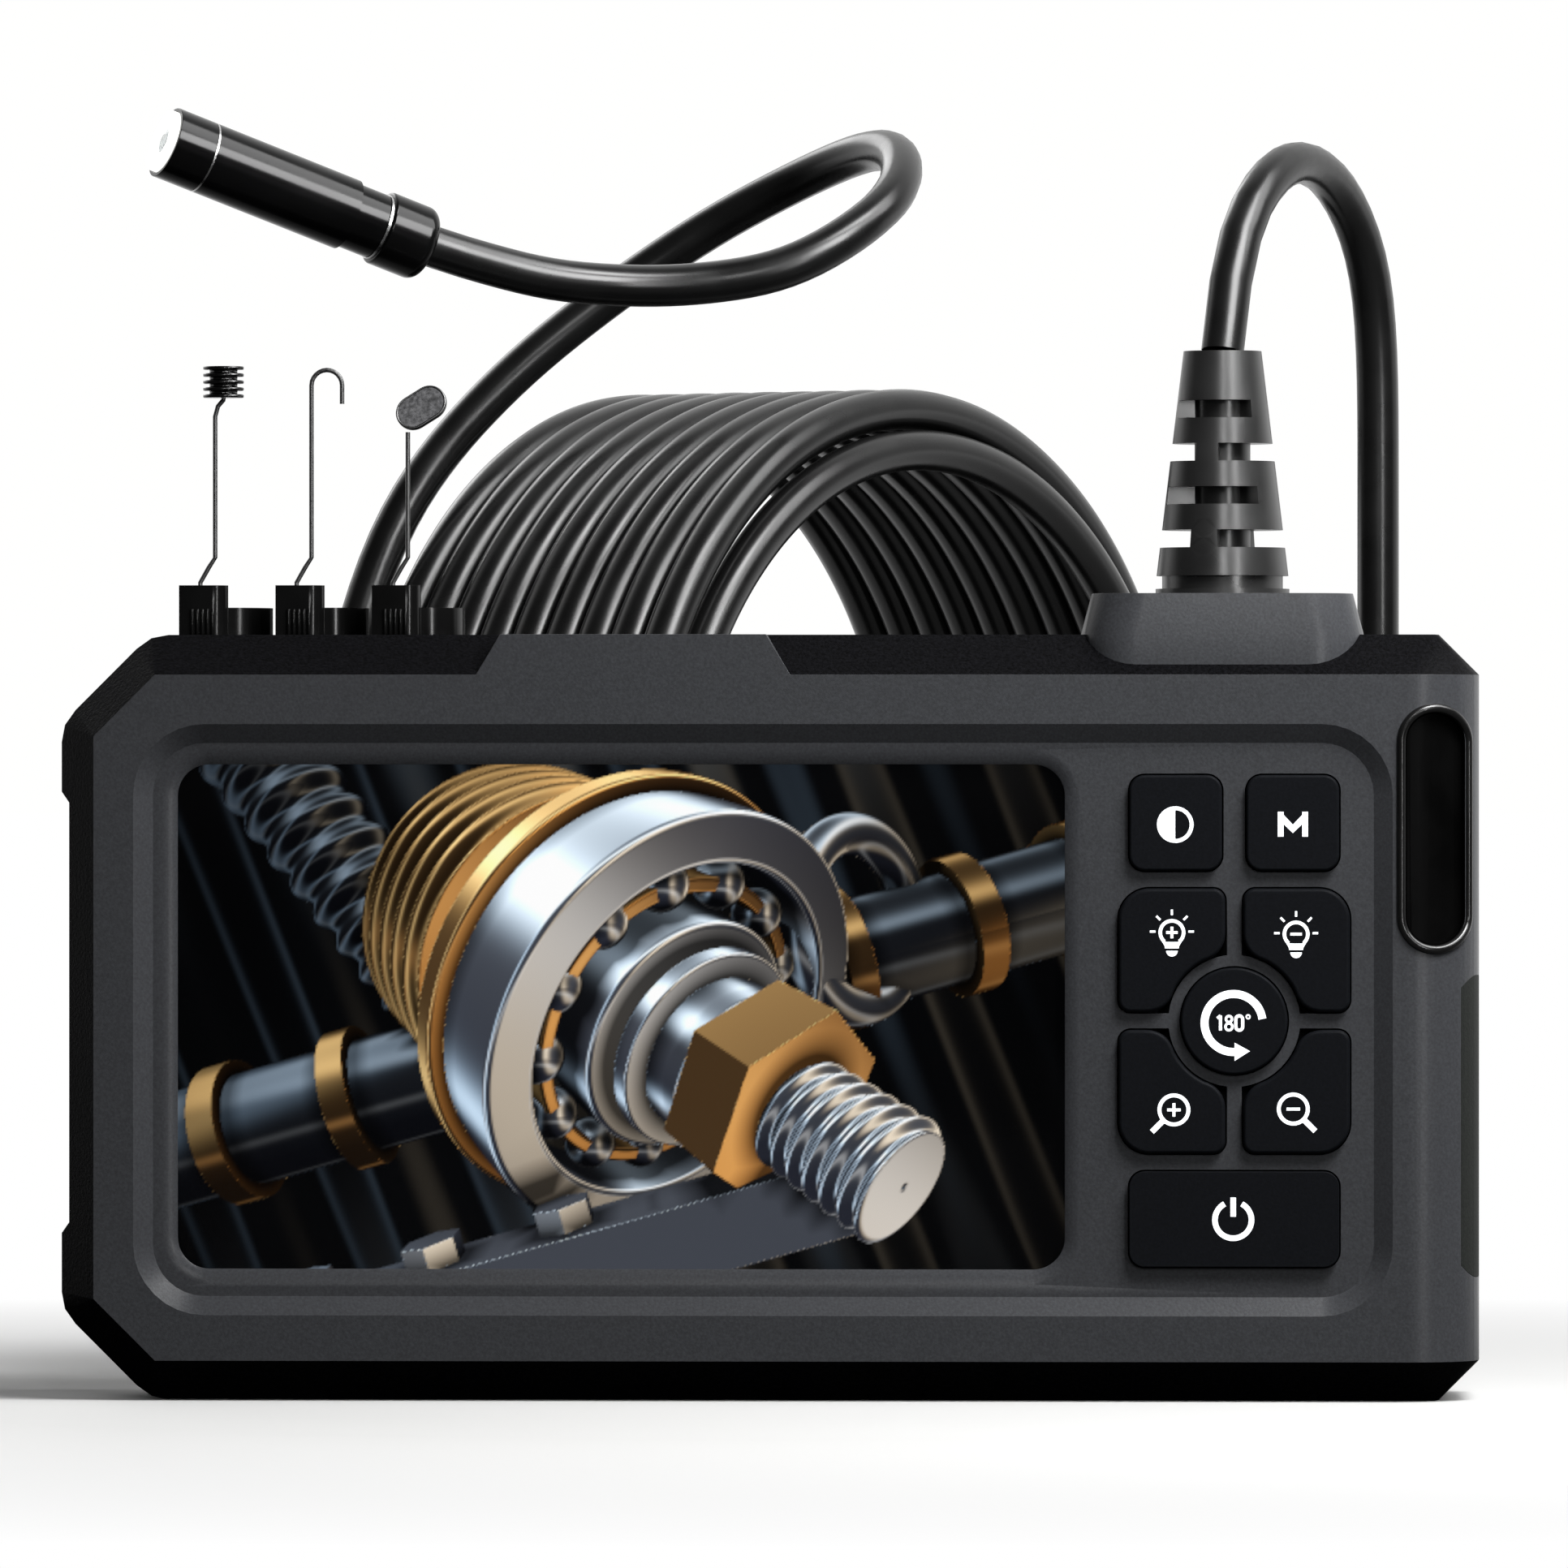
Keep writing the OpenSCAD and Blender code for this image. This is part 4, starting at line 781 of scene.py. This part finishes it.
def picture_room(x, y, z):
    """What the polished metal in the picture mirrors: two cool strips, a warm one and a dark room."""
    overhead = 2.6 * np.exp(-((y - 0.72) / 0.16) ** 2)
    side = 1.5 * np.exp(-((x + 0.62) / 0.13) ** 2)
    warm = 1.9 * np.exp(-((x - 0.70) / 0.14) ** 2) * (0.4 + 0.6 * (y > -0.2))
    low = 0.5 * np.exp(-((y + 0.55) / 0.10) ** 2)
    return np.stack([
        0.03 + 0.86 * overhead + 0.70 * side + 1.0 * warm + low,
        0.03 + 0.95 * overhead + 0.86 * side + 0.72 * warm + 0.9 * low,
        0.04 + 1.0 * overhead + 1.0 * side + 0.45 * warm + 0.8 * low,
    ])


def picture_colors(columns, rows):
    """Linear colours of the picture, row by row from the bottom."""
    u = (np.arange(columns) + 0.5) / columns * 2 - 1
    v = (np.arange(rows) + 0.5) / rows * 2 - 1
    across, up = np.meshgrid(u * columns / rows, v)
    direction = np.stack([across.ravel(), up.ravel(), np.full(across.size, -EYE_LENS)])
    direction /= np.linalg.norm(direction, axis=0)
    start = np.array([0.0, 0.0, EYE_DISTANCE])[:, None]
    travelled = np.full(across.size, MARCH_START)
    moving = np.arange(across.size)
    for _ in range(MARCH_STEPS):
        step = picture_distance(*(start + direction[:, moving] * travelled[moving]))[0]
        travelled[moving] += MARCH_SHARE * np.minimum(step, MARCH_LONGEST)
        moving = moving[(step > TOUCHING) & (travelled[moving] < MARCH_END)]
    place = start + direction * travelled
    left, kind = picture_distance(*place)
    normal = np.stack([
        picture_distance(*(place + NORMAL_NUDGE * np.eye(3)[k][:, None]))[0] - left for k in range(3)
    ])
    normal /= np.linalg.norm(normal, axis=0) + 1e-9
    mirrored = direction - 2 * (direction * normal).sum(axis=0) * normal
    light = picture_room(*mirrored)
    tint = np.array([STEEL_TINT, BRONZE_TINT, DARK_TINT])[kind].T
    diffuse = 0.10 * np.clip(normal[1] * 0.7 + normal[2] * 0.5, 0, 1)
    beside = picture_distance(*(place + CREVICE_REACH * normal))[0]
    open_space = np.clip(beside / CREVICE_REACH, 0.08, 1)
    fog = np.exp(-np.maximum(travelled - FOG_START, 0) * 0.9)
    color = tint * (light + diffuse) * open_space * fog * (left < 0.03)
    return np.clip(color / (1 + 0.35 * color), 0, 1)


def add_picture():
    """The lit picture just in front of the display panel."""
    panel = frame["nodes"]["display_panel"]
    corners = [panel.matrix_world @ vertex.co for vertex in panel.data.vertices]
    low = Vector([min(c[axis] for c in corners) for axis in range(3)])
    high = Vector([max(c[axis] for c in corners) for axis in range(3)])
    width, height = high.x - low.x - 2 * PICTURE_MARGIN, high.z - low.z - 2 * PICTURE_MARGIN
    columns = PICTURE_COLUMNS
    rows = round(columns * height / width)
    fine = picture_colors(columns * PICTURE_SHARP, rows * PICTURE_SHARP)
    color = fine.reshape(3, rows, PICTURE_SHARP, columns, PICTURE_SHARP).mean(axis=(2, 4)).reshape(3, -1)
    x, z = np.meshgrid(
        low.x + PICTURE_MARGIN + width * np.linspace(0, 1, columns),
        low.z + PICTURE_MARGIN + height * np.linspace(0, 1, rows),
    )
    places = np.stack([x.ravel(), np.full(x.size, low.y - PICTURE_GAP), z.ravel()], axis=1)
    first = (np.arange(rows - 1)[:, None] * columns + np.arange(columns - 1)).ravel()
    faces = np.stack([first, first + 1, first + columns + 1, first + columns], axis=1)
    mesh = bpy.data.meshes.new("screen_picture")
    mesh.from_pydata(places.tolist(), [], faces.tolist())
    layer = mesh.color_attributes.new("picture", "FLOAT_COLOR", "POINT")
    layer.data.foreach_set("color", np.vstack([color, np.ones(color.shape[1])]).T.ravel())
    picture = add_object("screen_picture", mesh)
    material, tree, shader = new_material("screen_picture", (0.002, 0.002, 0.002), 0.5, Specular_IOR_Level=0)
    shown = tree.nodes.new("ShaderNodeVertexColor")
    shown.layer_name = "picture"
    tree.links.new(shown.outputs["Color"], shader.inputs["Emission Color"])
    shader.inputs["Emission Strength"].default_value = 1
    mesh.materials.append(material)
    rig.ride(picture, HOUSING)
    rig.slot(picture, "display")


add_picture()

PROBE_NODES = [
    "probe_window", "probe_lens", "led_ring", "camera_module", "seam_ring", "probe_tube", "probe_board",
    "probe_ring",
]
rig.cord(
    cable, exit=(GLAND_X * MM, 0, RELIEF_TOP * MM), length=3.85, diameter=CABLE_D, far_end="tool",
    stiffness="stiff", lay="coiled",
    with_pieces=PROBE_NODES + [soft["probe_head"], soft["probe_neck"], soft["probe_collar"]],
)

# ---- the lip of the port cover, lying on the housing round its pocket ----


RIM_ARC_STEPS = 24
RIM_SIDE_STEPS = 12
IN_FRONT = -0.2


def add_cover_rim():
    """The raised lip: a round bead along the pocket's outline, on whichever shell it meets first."""
    shell = tree_of(soft["front_shell"])
    frame_tree = tree_of(soft["middle_frame"])
    radius = PORT_SIZE[0] / 2 + RIM_OUT
    straight = (PORT_SIZE[1] - PORT_SIZE[0]) / 2
    outline = [(radius * math.cos(t), radius * math.sin(t) + straight)
               for t in (math.pi * k / RIM_ARC_STEPS for k in range(RIM_ARC_STEPS + 1))]
    outline += [(-radius, straight * (1 - 2 * k / RIM_SIDE_STEPS)) for k in range(1, RIM_SIDE_STEPS)]
    outline += [(radius * math.cos(t), radius * math.sin(t) - straight)
                for t in (math.pi * (1 + k / RIM_ARC_STEPS) for k in range(RIM_ARC_STEPS + 1))]
    outline += [(radius, straight * (2 * k / RIM_SIDE_STEPS - 1)) for k in range(1, RIM_SIDE_STEPS)]
    points = []
    for x, z in outline:
        start = Vector(((PORT_MIDDLE[0] + x) * MM, IN_FRONT, (PORT_MIDDLE[1] + z) * MM))
        found = [tree.ray_cast(start, Vector((0, 1, 0))) for tree in (shell, frame_tree)]
        near = min((hit for hit in found if hit[0]), key=lambda hit: hit[3])
        points.append(near[0])
    data = bpy.data.curves.new("cover_rim", "CURVE")
    data.dimensions = "3D"
    data.bevel_depth = RIM_RADIUS
    data.bevel_resolution = 4
    spline = data.splines.new("POLY")
    spline.points.add(len(points) - 1)
    for point, place in zip(spline.points, points):
        point.co = (*place, 1)
    spline.use_cyclic_u = True
    spline.use_smooth = True
    rim = add_object("cover_rim", data)
    data.materials.append(RIM)
    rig.ride(rim, "port_cover")
    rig.slot(rim, slot_of["port_cover"])


add_cover_rim()

# ---- the symbols on the keys, in millimetres from the middle of each, white with a painted glow and a little proud ----


def arc(radius, start, end, steps=24, centre=(0, 0)):
    """Points along an arc, with its angles in degrees from the right, anticlockwise."""
    turns = [math.radians(start + (end - start) * k / steps) for k in range(steps + 1)]
    return [(centre[0] + radius * math.cos(t), centre[1] + radius * math.sin(t)) for t in turns]


def band(points, width):
    """The outlines of a line of this width through the points: one four-sided piece for each stretch."""
    sides = []
    for k, point in enumerate(points):
        before, after = Vector(points[max(k - 1, 0)]), Vector(points[min(k + 1, len(points) - 1)])
        along = (after - before).normalized()
        across = Vector((-along.y, along.x)) * width / 2
        sides.append((Vector(point) + across, Vector(point) - across))
    return [[a[0], a[1], b[1], b[0]] for a, b in zip(sides, sides[1:])]


def bar(x0, y0, x1, y1, width):
    return band([(x0, y0), (x1, y1)], width)


def plus(x, y, reach, width):
    return bar(x - reach, y, x + reach, y, width) + bar(x, y - reach, x, y + reach, width)


def contrast_symbol():
    return band(arc(1.75, -90, 90), 0.42) + [arc(1.95, 90, 270)]


def menu_symbol():
    low, high, side = -1.33, 1.33, 1.3
    legs = bar(-side, low, -side, high, 0.62) + bar(side, low, side, high, 0.62)
    return legs + [[(-side, high), (-side, 0.3), (0, -0.95), (side, 0.3), (side, high), (0, -0.05)]]


def bulb_symbol(sign):
    head = band(arc(1.25, -50, 230), 0.38)
    foot = [arc(0.62, 180, 360, centre=(0, -1.95))] + bar(-0.75, -1.5, 0.75, -1.5, 0.4)
    neck = [[(-1.2, -0.7), (-0.7, -1.6), (0.7, -1.6), (1.2, -0.7), (0.6, -1.0), (-0.6, -1.0)]]
    rays = []
    for turn in (0, 45, 90, 135, 180):
        x, y = math.cos(math.radians(turn)), math.sin(math.radians(turn))
        rays += bar(1.75 * x, 1.75 * y + 0.1, 2.35 * x, 2.35 * y + 0.1, 0.24)
    mark = plus(0, 0, 0.62, 0.3) if sign > 0 else bar(-0.62, 0, 0.62, 0, 0.3)
    return head + foot + neck + rays + mark


def lens_symbol(sign):
    """A magnifying glass whose handle points down, to the left with sign 1 and to the right with -1."""
    middle = (0.3 * sign, 0.3)
    ring = band(arc(1.55, 0, 360, 32, middle), 0.42)
    handle = bar(middle[0] - 1.15 * sign, middle[1] - 1.15, middle[0] - 2.35 * sign, middle[1] - 2.35, 0.6)
    minus = bar(middle[0] - 0.72, middle[1], middle[0] + 0.72, middle[1], 0.32)
    mark = plus(*middle, 0.72, 0.32) if sign > 0 else minus
    return ring + handle + mark


def turn_symbol():
    """180 degrees, inside a round arrow."""
    ring = band(arc(3.1, 8, 272, 40), 0.85)
    head = [[(0.1, -4.05), (1.75, -3.0), (0.1, -2.1)]]
    stroke = 0.34
    one = bar(-1.4, -0.8, -1.4, 0.8, stroke) + bar(-1.75, 0.5, -1.4, 0.8, stroke * 0.9)
    eight = band(arc(0.32, 0, 360, 20, (-0.5, 0.42)), stroke * 0.8)
    eight += band(arc(0.37, 0, 360, 20, (-0.5, -0.4)), stroke * 0.8)
    oval = arc(0.37, 0, 180, 12, (0.6, 0.4)) + arc(0.37, 180, 360, 12, (0.6, -0.4)) + [(0.97, 0.4)]
    sides = band(oval, stroke)
    degree = band(arc(0.2, 0, 360, 16, (1.55, 0.66)), 0.17)
    return ring + head + one + eight + sides + degree


def power_symbol():
    return band(arc(1.95, 118, 422, 40), 0.6) + bar(0, 0.35, 0, 2.4, 0.6)


SYMBOLS = {
    "contrast": contrast_symbol(), "menu": menu_symbol(),
    "light_up": bulb_symbol(1), "light_down": bulb_symbol(-1),
    "rotate": turn_symbol(), "zoom_in": lens_symbol(1), "zoom_out": lens_symbol(-1),
    "power": power_symbol(),
}
ICON_PROUD = 0.04 * MM


def add_symbol(key):
    """A key's white symbol, glowing with painted light, lying on the key's top and moving with it."""
    place, normal = place_on(key + "_icon", soft[key])
    build = bmesh.new()
    for outline in SYMBOLS[key]:
        corners = [build.verts.new((x * MM, 0, y * MM)) for x, y in outline]
        build.faces.new(corners)
    made = bmesh.ops.extrude_face_region(build, geom=build.faces[:])
    for corner in made["geom"]:
        if isinstance(corner, bmesh.types.BMVert):
            corner.co.y -= ICON_PROUD
    bmesh.ops.recalc_face_normals(build, faces=build.faces)
    mesh = bpy.data.meshes.new(key + "_symbol")
    build.to_mesh(mesh)
    build.free()
    symbol = add_object(key + "_symbol", mesh)
    symbol.location = place
    mesh.materials.append(GLOWING_ICON)
    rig.ride(symbol, key + "_key")
    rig.slot(symbol, "white_plastic")
    return symbol


symbols = {key: add_symbol(key) for key in KEYS}

# ---- stage ----

FLOOR_REACH = 30
FLOOR_FADE = (0.1, 0.3)
FLOOR_TURN = (0.0, 0.3)
ROOM_TURN = (0.0, 0.6)
DIM_FLOOR = (0.04, 0.04, 0.04, 1)
DIM_ROOM = (0.05, 0.05, 0.05, 1)


def seen_by(tree):
    """Two shares: 1 for what the camera sees, and 1 for what a mirror or glass sees."""
    path = tree.nodes.new("ShaderNodeLightPath")
    either = tree.nodes.new("ShaderNodeMath")
    either.operation = "MAXIMUM"
    tree.links.new(path.outputs["Is Glossy Ray"], either.inputs[0])
    tree.links.new(path.outputs["Is Transmission Ray"], either.inputs[1])
    return path.outputs["Is Camera Ray"], either.outputs["Value"]


def mixed(tree, share, first, second):
    node = tree.nodes.new("ShaderNodeMixShader")
    tree.links.new(share, node.inputs["Fac"])
    tree.links.new(first, node.inputs[1])
    tree.links.new(second, node.inputs[2])
    return node.outputs["Shader"]


def add_floor():
    """A pale floor that keeps the object's shadow near it and fades into the white backdrop further out."""
    mesh = bpy.data.meshes.new("floor")
    corners = [(x * FLOOR_REACH, y * FLOOR_REACH, 0) for x, y in ((-1, -1), (1, -1), (1, 1), (-1, 1))]
    mesh.from_pydata(corners, [], [(0, 1, 2, 3)])
    floor = add_object("floor", mesh)
    material, tree, shader = new_material("floor", (0.62, 0.62, 0.615), 0.6, Specular_IOR_Level=0.1)
    distance = tree.nodes.new("ShaderNodeVectorMath")
    distance.operation = "LENGTH"
    tree.links.new(object_coordinates(tree), distance.inputs[0])
    fade = remap(tree, distance.outputs["Value"], 0, 1, *FLOOR_FADE)
    glow = tree.nodes.new("ShaderNodeEmission")
    lit = mixed(tree, fade, shader.outputs["BSDF"], glow.outputs["Emission"])
    dim = tree.nodes.new("ShaderNodeBsdfDiffuse")
    dim.inputs["Color"].default_value = DIM_FLOOR
    split = tree.nodes.new("ShaderNodeSeparateXYZ")
    tree.links.new(object_coordinates(tree), split.inputs["Vector"])
    behind = remap(tree, split.outputs["Y"], 0, 1, *FLOOR_TURN)
    to_camera, to_mirror = seen_by(tree)
    mirrored = mixed(tree, behind, dim.outputs["BSDF"], glow.outputs["Emission"])
    unseen = mixed(tree, to_mirror, dim.outputs["BSDF"], mirrored)
    whole = mixed(tree, to_camera, unseen, lit)
    tree.links.new(whole, tree.nodes["Material Output"].inputs["Surface"])
    mesh.materials.append(material)
    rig.stage(floor)


def add_area(name, place, aim, size, power):
    """A rectangular lamp of this power in watts, shining from its place towards its aim."""
    data = bpy.data.lights.new(name, "AREA")
    data.shape = "RECTANGLE"
    data.size, data.size_y = size
    data.energy = power
    light = add_object(name, data)
    light.location = place
    light.rotation_euler = (Vector(aim) - Vector(place)).to_track_quat("-Z", "Y").to_euler()


def add_world():
    """White to look at. Mirrors see it white behind the object and dark in front, as a studio is."""
    world = bpy.data.worlds.new("studio")
    bpy.context.scene.world = world
    world.use_nodes = True
    tree = world.node_tree
    room = tree.nodes["Background"]
    direction = tree.nodes.new("ShaderNodeTexCoord").outputs["Generated"]
    split = tree.nodes.new("ShaderNodeSeparateXYZ")
    tree.links.new(direction, split.inputs["Vector"])
    color = color_between(tree, split.outputs["Y"], (0.04, 0.04, 0.04), (1, 1, 0.995), *ROOM_TURN)
    tree.links.new(color, room.inputs["Color"])
    dim = tree.nodes.new("ShaderNodeBackground")
    dim.inputs["Color"].default_value = DIM_ROOM
    white = tree.nodes.new("ShaderNodeBackground")
    white.inputs["Color"].default_value = (1, 1, 0.995, 1)
    to_camera, to_mirror = seen_by(tree)
    unseen = mixed(tree, to_mirror, dim.outputs["Background"], room.outputs["Background"])
    whole = mixed(tree, to_camera, unseen, white.outputs["Background"])
    tree.links.new(whole, tree.nodes["World Output"].inputs["Surface"])


add_floor()
add_world()
add_area("near_light", (0.13, -0.12, 0.22), (0.03, 0, 0.05), (0.1, 0.1), 0.58)
add_area("front_light", (0.1, -1.15, 0.45), (0.04, 0, 0.1), (0.08, 0.3), 1.6)
add_area("side_light", (0.62, -1.1, 0.2), (0.06, 0, 0.08), (0.06, 0.5), 2.5)
add_area("high_light", (0.5, -0.45, 1.1), (0, 0, 0.08), (0.5, 0.3), 7)
add_area("key_light", (0.8, -0.15, 0.95), (0, 0, 0.08), (0.6, 0.8), 10)
add_area("back_light", (-0.7, 1.2, 0.8), (0, 0.03, 0.06), (0.6, 0.6), 3)
bpy.context.scene.view_settings.view_transform = "Standard"

# ---- how far each thing shows from its image point ----


def shown_points(obj):
    """The image points of an object's finished vertices."""
    bpy.context.view_layer.update()
    evaluated = obj.evaluated_get(bpy.context.evaluated_depsgraph_get())
    mesh = evaluated.to_mesh()
    points = [seen_at(obj.matrix_world @ vertex.co) for vertex in mesh.vertices]
    evaluated.to_mesh_clear()
    return points


# Where the front shell's vertices are the lip round the screen, in millimetres: x, depth behind the face, z
LIP_X = (-70, 40)
LIP_DEPTH = (1.9, 2.3)
LIP_Z = (10, 72)


def middle(points):
    return [(min(p[k] for p in points) + max(p[k] for p in points)) / 2 for k in (0, 1)]


def point_distances():
    housing = shown_points(soft["front_shell"]) + shown_points(soft["middle_frame"])
    lip = [seen_at(v.co) for v in soft["front_shell"].data.vertices
           if LIP_X[0] < v.co.x / MM < LIP_X[1] and LIP_DEPTH[0] < v.co.y / MM - FACE_Y < LIP_DEPTH[1]
           and LIP_Z[0] < v.co.z / MM < LIP_Z[1]]
    across, down = [p[0] for p in lip], [p[1] for p in lip]
    tip = shown_points(soft["strain_relief"])
    shown = {
        "left_edge": (min(p[0] for p in housing), POINTS["left_edge"][1]),
        "right_edge": (max(p[0] for p in housing), POINTS["right_edge"][1]),
        "top_edge": (POINTS["top_edge"][0], min(p[1] for p in housing)),
        "bottom_edge": (POINTS["bottom_edge"][0], max(p[1] for p in housing)),
        "screen_low_left": (min(across), max(down)),
        "screen_high_right": (max(across), min(down)),
        "relief_tip": (middle(tip)[0], min(p[1] for p in tip)),
        "port_cover": middle(shown_points(soft["port_cover"])),
    }
    for key in KEYS:
        shown[key + "_icon"] = middle(shown_points(symbols[key]))
    return {name: [round(shown[name][k] - POINTS[name][k], 2) for k in (0, 1)] for name in POINTS if name in shown}


try:
    with open("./points.json", "w") as file:
        json.dump(point_distances(), file, indent=1)
except (OSError, ValueError, KeyError) as problem:
    print("points.json:", problem)

json.dump({"cad": [list(c) for c in cad_bounds], "visual": [list(c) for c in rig.bounds()]},
          open("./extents.json", "w"))
